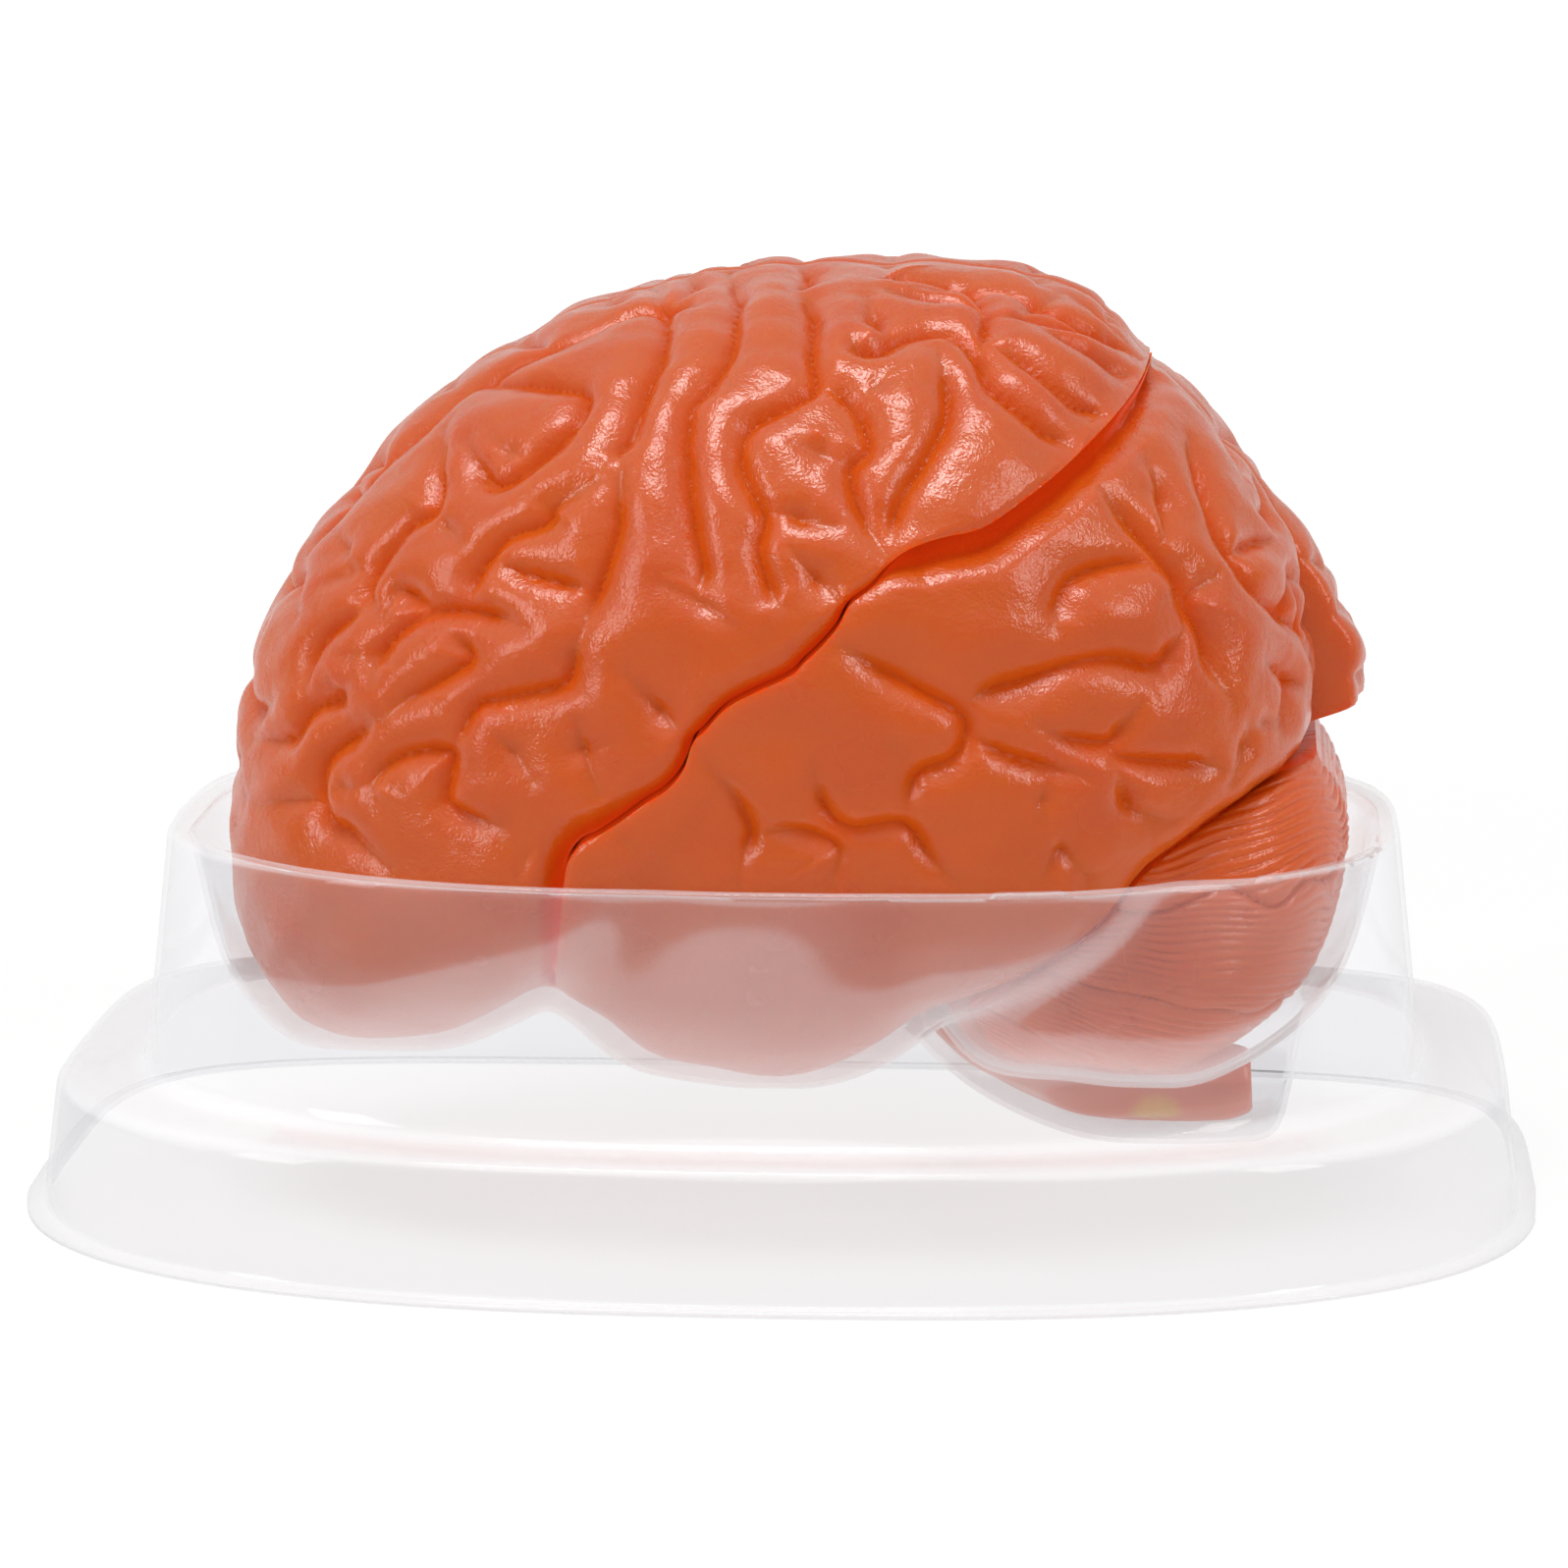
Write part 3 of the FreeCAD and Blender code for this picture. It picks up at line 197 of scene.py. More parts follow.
seam_trace = [
    (605, 852), (630, 836), (652, 820), (674, 806), (691, 786), (701, 758), (713, 746), (736, 722),
    (766, 706), (801, 690), (816, 676), (833, 660), (850, 640), (862, 618), (885, 600), (903, 580),
    (925, 563), (958, 551), (1000, 541), (1040, 515), (1080, 483), (1120, 444), (1155, 403), (1170, 369)]

# Furrows of the left side in the same view, each as across, down, across, down and so on
deep_furrows = [
    # Frontal lobe
    (445,435, 436,475, 430,518, 408,532, 390,550, 375,570, 362,595, 361,612, 377,632),
    (300,715, 300,685, 315,652, 345,628, 360,619),
    (245,755, 282,757, 303,727, 330,716, 340,706),
    (375,735, 350,752, 319,777, 312,810, 322,845, 345,857, 388,888),
    (372,815, 370,798, 395,776, 435,770, 449,778, 445,808, 448,826, 480,841, 498,845),
    (449,776, 459,750, 476,723, 500,717, 530,711, 568,700, 577,670, 584,650),
    (383,734, 402,716, 450,688, 467,676, 457,658, 447,643),
    (370,690, 372,670, 400,640, 440,625, 490,630, 525,641),
    (377,632, 392,604, 418,618, 440,623),
    (470,622, 468,600, 480,575, 505,548, 545,532, 555,515, 600,490),
    (485,572, 520,585, 570,598, 592,606),
    (583,742, 586,760, 592,780, 604,814),
    (476,386, 505,384, 570,390, 586,400, 575,430, 538,465, 505,490, 483,488, 468,447),
    (635,693, 656,717, 677,738, 690,750),
    (627,470, 622,510, 618,545, 606,585, 594,618, 585,650),
    # Parietal lobe
    (829,386, 850,390, 872,408, 883,430, 886,453, 868,472, 871,501, 887,540, 905,575),
    (776,524, 800,522, 825,530, 849,537),
    (804,560, 829,590, 856,618),
    (866,334, 874,348, 895,349, 920,336, 960,331, 988,340, 1006,358, 1018,386, 1050,416, 1080,444,
     1097,462),
    (882,298, 894,319, 912,337),
    (908,290, 950,294, 990,300, 1012,313, 1009,335, 1006,356),
    (957,350, 970,390, 968,425, 950,460, 926,498, 912,530, 905,563),
    (1018,314, 1060,317, 1115,330, 1145,341, 1165,362),
    (1010,342, 1040,353, 1080,386, 1120,421, 1127,431),
    (1066,328, 1095,340, 1140,366, 1160,384),
    (1104,302, 1128,318, 1150,340),
    # Temporal lobe
    (858,662, 884,679, 942,710, 978,730, 986,750, 973,779, 938,792, 926,815, 921,847),
    (982,745, 1008,765, 1042,779, 1075,788, 1112,795),
    (827,786, 832,813, 845,838, 870,852, 921,847, 949,880, 973,900),
    (722,789, 745,817, 760,852, 754,875, 749,902),
    (762,853, 815,855, 853,872, 846,903),
    (1064,744, 1090,757, 1135,762, 1151,744, 1168,720),
    (1135,763, 1148,777, 1201,783, 1234,783, 1253,788),
    (1146,784, 1152,811, 1163,832, 1201,841),
    (1064,838, 1066,820, 1078,792),
    (1066,897, 1086,874, 1111,897),
    # Occipital lobe
    (1128,497, 1152,524, 1190,567, 1210,590, 1219,620, 1219,640),
    (1177,472, 1192,495, 1197,525, 1193,565),
    (1220,446, 1232,479, 1244,515, 1255,545, 1267,567, 1293,605, 1335,635, 1343,660),
    (1267,567, 1291,553, 1313,548),
    (1248,588, 1224,613, 1238,650, 1244,678, 1262,718),
    (1079,640, 1083,622, 1100,592, 1137,577, 1175,574, 1203,588),
    (1219,640, 1203,666, 1187,682, 1144,674, 1104,679, 1050,697, 1010,708, 984,724),
    (1281,742, 1279,765, 1260,801),
    (1298,676, 1320,686, 1337,700)]
# Furrows that run on over the crest: precentral, central, postcentral, parietal
crest_furrows = [
    (667,291, 668,330, 661,362, 648,392, 636,431, 627,449, 610,468),
    (739,272, 748,291, 743,315, 742,335, 732,362, 713,388, 697,410, 692,440, 693,490, 700,540, 709,585,
     704,606),
    (818,288, 827,312, 825,350, 829,386, 804,404, 760,427, 749,460, 757,490, 774,524, 768,560, 779,598,
     791,617),
    (900,279, 930,278, 985,280, 1005,295, 1018,312)]
# Shallower furrows
fine_furrows = [
    # Frontal lobe
    (318,597, 345,584, 367,581),
    (335,540, 341,560, 345,577),
    (316,804, 340,806, 368,805),
    (253,823, 300,821, 318,840),
    (332,668, 350,671, 365,675),
    (488,745, 515,770, 536,797),
    (523,895, 530,880, 537,872),
    (495,447, 510,458, 535,464),
    (432,520, 442,537, 470,558),
    # Parietal lobe
    (672,598, 700,611, 725,627, 745,640),
    (808,450, 835,459, 866,470),
    (886,460, 905,453, 922,447),
    (880,398, 892,388, 904,374),
    (1040,313, 1066,303, 1086,294),
    # Temporal lobe
    (908,765, 924,782, 930,797),
    (705,768, 722,789),
    (622,850, 640,868),
    # Occipital lobe
    (1187,683, 1185,700, 1188,711),
    (1281,746, 1299,739, 1323,738)]

# Furrows out of that view: over the crown as x and distance from the midline, and round the poles
# as distance from the midline and z, in millimetres
crown_furrows = [
    (-72,17, -60,21, -46,19, -34,22, -20,20, -12,24),
    (-68,4, -63,11, -61,20),
    (-54,4, -50,12),
    (-42,4, -39,11, -35,21),
    (-27,4, -25,12),
    (-15,4, -13,13, -17,20),
    (2,4, 5,13, 2,22),
    (22,20, 32,16, 44,19, 52,16),
    (38,4, 40,10),
    (50,4, 51,10)]
front_pole_furrows = [
    (5,98, 12,94, 20,97, 29,93),
    (5,80, 14,82, 23,77, 31,79),
    (12,94, 15,87, 14,82),
    (7,66, 16,68, 26,64),
    (6,112, 14,109, 22,112)]
back_pole_furrows = [
    (6,112, 13,107, 20,109),
    (9,96, 17,99, 25,94, 31,97),
    (17,99, 16,90, 20,82),
    (20,82, 28,84, 33,78),
    (11,84, 16,90),
    (1,119, 8,117, 16,114),
    (1,99, 9,96),
    (1,90, 9,91, 16,90),
    (1,80.5, 9,79.5, 16,80)]


def view_axes():
    ct, st = math.cos(view_turn), math.sin(view_turn)
    cr, sr = math.cos(view_rise), math.sin(view_rise)
    forward = np.array((-st * cr, ct * cr, -sr))
    eye = np.array((0.0, 0.0, view_height)) - view_distance * forward
    return eye, forward, np.array((ct, st, 0.0)), np.array((-st * sr, ct * sr, cr))


EYE, FORWARD, RIGHT, UP = view_axes()


def sight(px, py, depth):
    """X and Z of the sight line of a pixel where it is depth to the left of the midline."""
    a = (px - view_side / 2) / view_pixels_per_radian
    b = (view_side / 2 - py) / view_pixels_per_radian
    ray = [FORWARD[i] + a * RIGHT[i] + b * UP[i] for i in range(3)]
    t = (-depth - EYE[1]) / ray[1]
    return EYE[0] + t * ray[0], EYE[2] + t * ray[2]


def smooth_curve(points, steps, closed=False):
    """Catmull-Rom curve through points of any dimension."""
    points = np.asarray(points, float)
    n = len(points)
    t = (np.arange(steps) / steps)[:, None]
    out = []
    for i in range(n if closed else n - 1):
        near = range(i - 1, i + 3)
        a, b, c, d = points[[j % n if closed else min(max(j, 0), n - 1) for j in near]]
        out.append(0.5 * (2 * b + (c - a) * t + (2 * a - 5 * b + 4 * c - d) * t * t
                          + (3 * b - a - 3 * c + d) * t ** 3))
    if not closed:
        out.append(points[-1:])
    return np.concatenate(out)


def spread(points, count):
    """count + 1 points evenly spaced along a polyline."""
    points = np.asarray(points, float)
    run = np.concatenate([[0], np.cumsum(np.linalg.norm(np.diff(points, axis=0), axis=1))])
    want = np.linspace(0, run[-1], count + 1)
    return np.stack([np.interp(want, run, points[:, k]) for k in range(points.shape[1])], 1)


def soft_step(t):
    t = np.clip(t, 0.0, 1.0)
    return t * t * (3 - 2 * t)


class Lobe:
    """One side of a lobe: its outline seen from the side, and how far it bulges from the midline."""

    def __init__(self, loop, centre, half_width, inner_power, outer_power):
        self.centre = np.array(centre)
        self.half_width = half_width
        self.inner_power = inner_power
        self.outer_power = outer_power
        count = 720
        turn = np.arange(count) * 2 * math.pi / count
        u = np.stack([np.cos(turn), np.sin(turn)], 1)
        p = loop[:, :2] - self.centre
        q = np.roll(p, -1, axis=0)
        e, f = loop[:, 2], np.roll(loop[:, 2], -1)
        d = q - p
        across = u[:, 0:1] * d[:, 1] - u[:, 1:2] * d[:, 0]
        across = np.where(np.abs(across) < 1e-12, 1e-12, across)
        s = (u[:, 1:2] * p[:, 0] - u[:, 0:1] * p[:, 1]) / across
        hit = (p[:, 0] + s * d[:, 0]) * u[:, 0:1] + (p[:, 1] + s * d[:, 1]) * u[:, 1:2]
        hit = np.where((s >= -1e-9) & (s <= 1 + 1e-9), hit, -1)
        best = hit.argmax(1)
        rows = np.arange(count)
        reach = hit[rows, best]
        edge = (e + s * (f - e))[rows, best]
        self.turn = np.append(turn, 2 * math.pi)
        self.reach = np.append(reach, reach[0])
        self.edge = np.append(edge, edge[0])

    def around(self, x, z):
        """Distance from the centre as a share of the reach, the reach, and the width at the outline."""
        dx, dz = x - self.centre[0], z - self.centre[1]
        a = np.mod(np.arctan2(dz, dx), 2 * math.pi)
        reach = np.interp(a, self.turn, self.reach)
        return np.hypot(dx, dz) / reach, reach, np.interp(a, self.turn, self.edge)

    def bulge(self, x, z):
        """Distance of the outer face from the midline."""
        q, _, edge = self.around(x, z)
        q = np.minimum(q, 1.0)
        return edge + (self.half_width - edge) * (1 - q ** self.inner_power) ** (1 / self.outer_power)

    def inward(self, x, z):
        """Direction into the lobe, square to its outer face."""
        q, reach, edge = self.around(x, z)
        q = np.clip(q, 1e-6, 0.9999)
        body = 1 - q ** self.inner_power
        slope = (self.half_width - edge) / self.outer_power * body ** (1 / self.outer_power - 1)
        slope = -slope * self.inner_power * q ** (self.inner_power - 1) / reach
        r = np.maximum(np.hypot(x - self.centre[0], z - self.centre[1]), 1e-9)
        vx, vz = slope * (x - self.centre[0]) / r, slope * (z - self.centre[1]) / r
        size = np.sqrt(vx * vx + vz * vz + 1)
        return np.stack([vx / size, 1 / size, vz / size], -1)

    def land(self, px, py):
        """Points where the sight lines of pixels meet the left outer face."""
        px, py = np.asarray(px, float), np.asarray(py, float)
        depth = np.full(px.shape, 0.8 * self.half_width)
        for _ in range(60):
            x, z = sight(px, py, depth)
            depth = depth + 0.4 * (self.bulge(x, z) - depth)
        return np.stack([x, -depth, z], -1)


def outline(trace, steps=4, closed=True):
    a = np.array(trace, float)
    x, z = sight(a[:, 0], a[:, 1], a[:, 2])
    return smooth_curve(np.stack([x, z, a[:, 2]], 1), steps, closed)


CEREBRUM_LOOP = outline(cerebrum_trace)
CEREBELLUM_LOOP = outline(cerebellum_top_trace + cerebellum_low_trace[1:-1])
cerebrum = Lobe(CEREBRUM_LOOP, cerebrum_middle, cerebrum_half_width, *cerebrum_powers)
cerebellum = Lobe(CEREBELLUM_LOOP, cerebellum_middle, cerebellum_half_width, *cerebellum_powers)
traced_low = CEREBRUM_LOOP[:, 1].min()
scale = np.array([
    brain_length / (CEREBRUM_LOOP[:, 0].max() - CEREBRUM_LOOP[:, 0].min()),
    brain_width / (2 * cerebrum.half_width),
    brain_height / (CEREBRUM_LOOP[:, 1].max() - traced_low)])
shift_up = np.array([0.0, 0.0, seat_height - traced_low * scale[2]])


def fitted(p):
    return np.asarray(p) * scale + shift_up


def last_inside(place_of, near, far, depth):
    """The value towards far, up to which the cerebrum still bulges out past a depth."""
    for _ in range(halvings):
        middle = (near + far) / 2
        x, z = place_of(middle)
        inside = cerebrum.around(x, z)[0] < 1 and cerebrum.bulge(x, z) > depth
        near, far = (middle, far) if inside else (near, middle)
    return near


def crown_point(x, depth):
    return x, -depth, last_inside(lambda z: (x, z), cerebrum.centre[1], search_height, depth)


def pole_point(depth, z, sign):
    middle = cerebrum.centre[0]
    return last_inside(lambda x: (x, z), middle, middle + sign * search_reach, depth), -depth, z


def furrow_lines():
    """Every furrow of the left side as points on the lobe, with its depth."""
    def chain(trace):
        return smooth_curve(np.reshape(trace, (-1, 2)), furrow_steps)

    lines = []
    too_low = np.where(CEREBRUM_LOOP[:, 1] < crest_height, crest_height, 0)
    for trace in deep_furrows + crest_furrows + fine_furrows:
        line = cerebrum.land(*chain(trace).T)
        if trace in crest_furrows:
            end = 0 if line[0][2] > line[-1][2] else -1
            c = CEREBRUM_LOOP[(np.abs(CEREBRUM_LOOP[:, 0] - line[end][0]) + too_low).argmin()]
            over = np.array([[c[0], -c[2], c[1]]])
            line = np.concatenate([over, line] if end == 0 else [line, over])
        lines.append((line, fine_furrow_depth if trace in fine_furrows else furrow_depth))
    around = [[crown_point(x, d) for x, d in chain(trace)] for trace in crown_furrows]
    for sign, group in ((-1, front_pole_furrows), (1, back_pole_furrows)):
        around += [[pole_point(d, z, sign) for d, z in chain(trace)] for trace in group]
    return lines + [(np.array(points), furrow_depth) for points in around]


def nearest_on(line, p):
    """Distance of many points to a chain and how far along it the nearest place lies, from 0 to 1."""
    best = np.full(len(p), 1e9)
    along = np.zeros(len(p))
    for i in range(len(line) - 1):
        ab = line[i + 1] - line[i]
        t = np.clip(((p - line[i]) @ ab) / max(ab @ ab, 1e-9), 0, 1)
        d = np.linalg.norm(p - line[i] - t[:, None] * ab, axis=1)
        closer = d < best
        best = np.where(closer, d, best)
        along = np.where(closer, i + t, along)
    return best, along / (len(line) - 1)


def pillow(distance, width):
    """Share of the full depth at a distance from a cut edge: steep at the edge, round at the crown."""
    t = np.minimum(distance / width, 1.0)
    return 1 - np.sqrt(1 - (1 - t) ** 2)


def valley(distance, width, floor):
    """The same with a rounded bottom, for a furrow between two soft folds."""
    return pillow(np.sqrt(distance ** 2 + floor ** 2), width) / pillow(floor, width)


def ripple(p, lengths, seed):
    """Smooth random field of about -1 to 1 with waves of the given lengths in millimetres."""
    r = np.random.default_rng(seed)
    out = np.zeros(len(p))
    for length in lengths:
        v = r.normal(size=3)
        v *= 2 * math.pi / length / np.linalg.norm(v)
        out += np.sin(p @ v + r.uniform(0, 6.3))
    return out / math.sqrt(len(lengths))


def cortex_depth(p, lines, fissure, keys):
    """How far the surface sinks at many points of the left side: furrows that run into each other, and
    the edge that rolls in along the cut, whose keys give share of its length, width and depth. Also the
    amount
    of painted shade at each point: its sunk depth, with extra right along the cut edge."""
    total = np.zeros(len(p))
    for line, depth in lines:
        close = (p > line.min(0) - dome_reach) & (p < line.max(0) + dome_reach)
        i = np.nonzero(np.all(close, axis=1))[0]
        if len(i) == 0:
            continue
        near, along = nearest_on(line, p[i])
        length = np.linalg.norm(np.diff(line, axis=0), axis=1).sum()
        to_end = soft_step(np.minimum(along, 1 - along) * length / furrow_end_reach)
        fade = furrow_end_share + (1 - furrow_end_share) * to_end
        dome = (1 - np.minimum(near / dome_reach, 1.0)) ** 2
        crease = valley(near, crease_reach, crease_floor)
        total[i] += (depth * fade * (dome_share * dome + (1 - dome_share) * crease)) ** furrow_blend
    sunk = total ** (1 / furrow_blend)
    near, share = nearest_on(fissure, p)
    keys = np.array(keys)
    width = np.interp(share, keys[:, 0], keys[:, 1])
    depth = np.interp(share, keys[:, 0], keys[:, 2])
    flat = soft_step((lip_share - share) / lip_fade) + soft_step((share - wedge_share) / wedge_fade)
    rim = pillow(near, width) * (1 - flat) + valley(near, width, lip_floor) * flat
    sunk = np.maximum(sunk, depth * rim)
    # Painted shade: the sunk depth, plus extra right along the cut edge, deepens the colour and lights a
    # painted glow in the plastic
    tint = sunk + edge_painted_shade * pillow(near, edge_painted_shade_reach) * soft_step((depth - 1.0) / 2.0)
    for px, py, radius, height in pimples:
        away = np.linalg.norm(p - cerebrum.land(px, py), axis=1)
        sunk = sunk - height * np.exp(-(away / radius) ** 2)
    return sunk - swell * ripple(p, swell_waves, 11), tint


def folia_depth(p):
    """Fine grooves of the cerebellum, fanning out from its front, with a few deep fissures."""
    warp = 1.1 * ripple(p, [9, 13, 17, 23], 3)
    dx, dz = p[:, 0] - folia_fan[0], p[:, 2] - folia_fan[1]
    reach = np.hypot(dx, dz)
    angle = np.arctan2(dz, dx)
    phase = angle * folia_count / folia_angle + warp * 0.5
    groove = (0.5 + 0.5 * np.cos(2 * math.pi * phase)) ** 2.2
    groove *= 0.75 + 0.25 * ripple(p, [6, 8, 11, 15], 4)
    sunk = folia_groove * groove
    for turn, deep in folia_fissures:
        d = np.abs(angle + 0.02 * ripple(p, [14, 19], 5) - turn) * reach
        sunk = np.maximum(sunk, deep * pillow(d, folia_fissure_width) + 0.2 * groove)
    sunk = np.clip(sunk, 0, 2)
    # The groove depth also serves as the amount of painted shade in the grooves
    return sunk, sunk


def grid_of(lobe, upper, lower, columns, rows):
    """Places on the outer face of a piece, evenly spaced from its upper to its lower edge."""
    tops, lows = spread(upper[:, :2], columns), spread(lower[:, :2], columns)
    t = np.linspace(0, 1, 121)
    x = tops[:, 0:1] + (lows - tops)[:, 0:1] * t
    z = tops[:, 1:2] + (lows - tops)[:, 1:2] * t
    b = lobe.bulge(x, z)
    step = np.sqrt(np.diff(x) ** 2 + np.diff(z) ** 2 + np.diff(b) ** 2)
    run = np.concatenate([np.zeros((columns + 1, 1)), np.cumsum(step, axis=1)], 1)
    out = np.empty((columns + 1, rows + 1, 2))
    for n in range(columns + 1):
        place = np.interp(np.linspace(0, run[n, -1], rows + 1), run[n], t)
        out[n] = tops[n] + (lows[n] - tops[n]) * place[:, None]
    return out


def to_midline(edge):
    """Rows of points from an edge of a piece straight across to the midline."""
    share = np.linspace(0, 1, side_rows + 1)[None]
    rows = np.repeat(edge[:, None, :], side_rows + 1, 1)
    rows[..., 1] = edge[:, None, 1] + (-midline_gap / 2 - edge[:, None, 1]) * share
    return rows, share


def piece_points(lobe, upper, lower, columns, rows, depth_of):
    """Outer face of a left piece as a grid, the band over the midline, the cut wall, and the amount of
    painted shade at each of their points: on the face its sunk depth with extra at the cut edge, across
    the band fading out to the midline, and on the wall most at its outer edge."""
    flat = grid_of(lobe, upper, lower, columns, rows)
    x, z = flat[..., 0].ravel(), flat[..., 1].ravel()
    p = np.stack([x, -lobe.bulge(x, z), z], 1)
    sunk, tint = depth_of(p)
    inward = lobe.inward(x, z)
    grid = p.reshape(columns + 1, rows + 1, 3)
    from_cut = np.cumsum(np.linalg.norm(np.diff(grid, axis=1), axis=2), axis=1)
    from_cut = np.concatenate([np.zeros((columns + 1, 1)), from_cut], 1).ravel()
    across = soft_step(from_cut / cut_turn_reach)[:, None]
    direction = inward * across + np.array((0, 1.0, 0)) * (1 - across)
    direction /= np.linalg.norm(direction, axis=1)[:, None]
    outer = (p + sunk[:, None] * direction).reshape(columns + 1, rows + 1, 3)

    low, top = outer[:, -1], outer[:, 0]
    count = np.arange(columns + 1)
    step_size = np.linalg.norm(np.diff(spread(lower[:, :2], columns), axis=0), axis=1).mean()
    inset = midline_round * (1 - soft_step((-low[:, 1] - midline_round_reach) / midline_round_fade))
    ends = soft_step(np.minimum(count, columns - count) * step_size / band_end_reach)
    inset *= ends
    away = np.stack([low[:, 0] - lobe.centre[0], low[:, 2] - lobe.centre[1]], 1)
    away /= np.linalg.norm(away, axis=1)[:, None]
    flat_band = to_midline(grid[:, -1])[0]
    band_sunk = depth_of(flat_band.reshape(-1, 3))[0].reshape(columns + 1, side_rows + 1)
    band, share = to_midline(low)
    curve = (1 - np.sqrt(1 - (share * 0.999) ** midline_round_power)) * inset[:, None]
    curve = curve + (band_sunk - band_sunk[:, :1]) * ends[:, None]
    band[..., 0] -= away[:, 0:1] * curve
    band[..., 2] -= away[:, 1:2] * curve

    wall = to_midline(top)[0]
    tint = tint.reshape(columns + 1, rows + 1)
    fade = np.linspace(1, 0, side_rows + 1)[None]
    # Painted shade and glow on the cut wall: most at its outer edge, in the gap between pieces, less
    # further in
    inside = wall_painted_shade * (1 - np.abs(wall[..., 1] - top[:, None, 1]) / wall_glow_reach)
    return (outer, band, wall), (tint, tint[:, -1:] * fade, np.maximum(inside, wall_painted_shade_inside))


def far_side(p):
    """The right side mirrors the left, with an occipital pole that reaches further back low down."""
    top = (p[:, 2] - shift_up[2]) / scale[2]
    grow = far_pole_growth * soft_step((p[:, 0] - far_pole_start) / far_pole_span)
    grow = grow * soft_step((top - far_pole_floor) / far_pole_ramp)
    grow = grow * (1 - soft_step((top - far_pole_top) / far_pole_fade))
    return np.stack([p[:, 0] + grow, -p[:, 1], p[:, 2]], 1)


def quads(columns, rows, start):
    n, k = np.meshgrid(np.arange(columns), np.arange(rows), indexing="ij")
    a = start + n * (rows + 1) + k
    return np.stack([a, a + 1, a + rows + 2, a + rows + 1], -1).reshape(-1, 4)


def put(name, data):
    """New object in the scene."""
    obj = bpy.data.objects.new(name, data)
    bpy.context.scene.collection.objects.link(obj)
    return obj


def weld(mesh, gap, mend=False):
    """Joins points that lie closer than a gap, and mends slivers and normals on wish."""
    bm = bmesh.new()
    bm.from_mesh(mesh)
    bmesh.ops.remove_doubles(bm, verts=bm.verts, dist=gap)
    if mend:
        bmesh.ops.dissolve_degenerate(bm, edges=bm.edges, dist=1e-7)
        bmesh.ops.recalc_face_normals(bm, faces=bm.faces)
    bm.to_mesh(mesh)
    bm.free()


def make_object(name, points, faces, loops=(), sharp=40.0, sunk=None):
    """Mesh object in metres from points in millimetres, with each point's amount of painted shade kept in
    its sunk attribute.
    """
    mesh = bpy.data.meshes.new(name)
    mesh.from_pydata((points * 0.001).tolist(), [], [list(f) for f in (*faces, *loops)])
    if sunk is not None:
        mesh.attributes.new("sunk", "FLOAT", "POINT").data.foreach_set("value", sunk.astype(np.float32))
    weld(mesh, 2e-6, mend=True)
    mesh.polygons.foreach_set("use_smooth", [True] * len(mesh.polygons))
    mesh.set_sharp_from_angle(angle=math.radians(sharp))
    mesh.update()
    return put(name, mesh)


def brain_piece(name, lobe, upper, lower, columns, rows, depth_of):
    """Closed skins of a left and a right piece: face, band and wall, and the flat face at the midline."""
    # Here sunk holds each point's amount of painted shade, which make_object keeps as the sunk attribute
    blocks, sunk = piece_points(lobe, upper, lower, columns, rows, depth_of)
    faces, last_rows, start = [], [], 0
    for block in blocks:
        n, k = block.shape[:2]
        faces.append(quads(n - 1, k - 1, start))
        last_rows.append([start + i * k + k - 1 for i in range(n)])
        start += n * k
    band_end, wall_end = last_rows[1:]
    loop = wall_end + band_end[::-1][1:-1]
    points = fitted(np.concatenate([block.reshape(-1, 3) for block in blocks]))
    faces = np.concatenate(faces)
    sunk = np.concatenate([part.ravel() for part in sunk])
    return [make_object("%s_skin_%s" % (name, side), placed, faces, [loop], sunk=sunk)
            for side, placed in (("left", points), ("right", far_side(points)))]


def nearest_number(loop, place):
    return int(np.linalg.norm(loop[:, :2] - place, axis=1).argmin())


def between(loop, first, last):
    last = last if last >= first else last + len(loop)
    return loop[np.arange(first, last + 1) % len(loop)]


fine = 1.0
lines = furrow_lines()
cut_px = np.array(lip_trace + seam_trace, float)
cut_line = cerebrum.land(cut_px[:, 0], cut_px[:, 1])
upper_cut = cut_line[:, [0, 2]]
lower_cut = upper_cut + np.array((1.0, -1.0)) * seam_gap / math.sqrt(2)
fissure = smooth_curve(cut_line, 3)
upper_keys = [
    (0.0, lip_width, lip_depth), (0.2, lip_width * 0.75, fissure_depth),
    (0.6, fissure_width, fissure_depth), (0.76, edge_width, edge_depth), (1.0, edge_width, edge_depth)]
lower_keys = [
    (0.0, edge_width, edge_depth), (0.62, edge_width, edge_depth),
    (0.69, wedge_width * 0.5, wedge_depth * 0.3), (0.76, wedge_width, wedge_depth),
    (0.93, wedge_width, wedge_depth), (1.0, wedge_width, wedge_depth * 0.6)]
fine_loop = outline(cerebrum_trace, 24)
skins = {}
for name, edge, keys, columns, rows in (("frontoparietal", upper_cut, upper_keys, 344, 164),
                                        ("temporo_occipital", lower_cut, lower_keys, 360, 150)):
    start, end = nearest_number(fine_loop, edge[0]), nearest_number(fine_loop, edge[-1])
    is_upper = name == "frontoparietal"
    rim = between(fine_loop, start, end) if is_upper else between(fine_loop, end, start)[::-1]
    ends = fine_loop[[start, end], :2]
    cut = smooth_curve(np.concatenate([ends[:1], edge[1:-1], ends[1:]]), 4)

    def sink(p):
        return cortex_depth(p, lines, fissure, keys)

    skins[name] = brain_piece(name, cerebrum, cut, rim, int(columns * fine), int(rows * fine), sink)

cerebellum_top = outline(cerebellum_top_trace, 12, False)
cerebellum_low = outline(cerebellum_low_trace[::-1], 12, False)
skins["cerebellum"] = brain_piece("cerebellum", cerebellum, cerebellum_top, cerebellum_low,
                                  int(220 * fine), int(230 * fine), folia_depth)


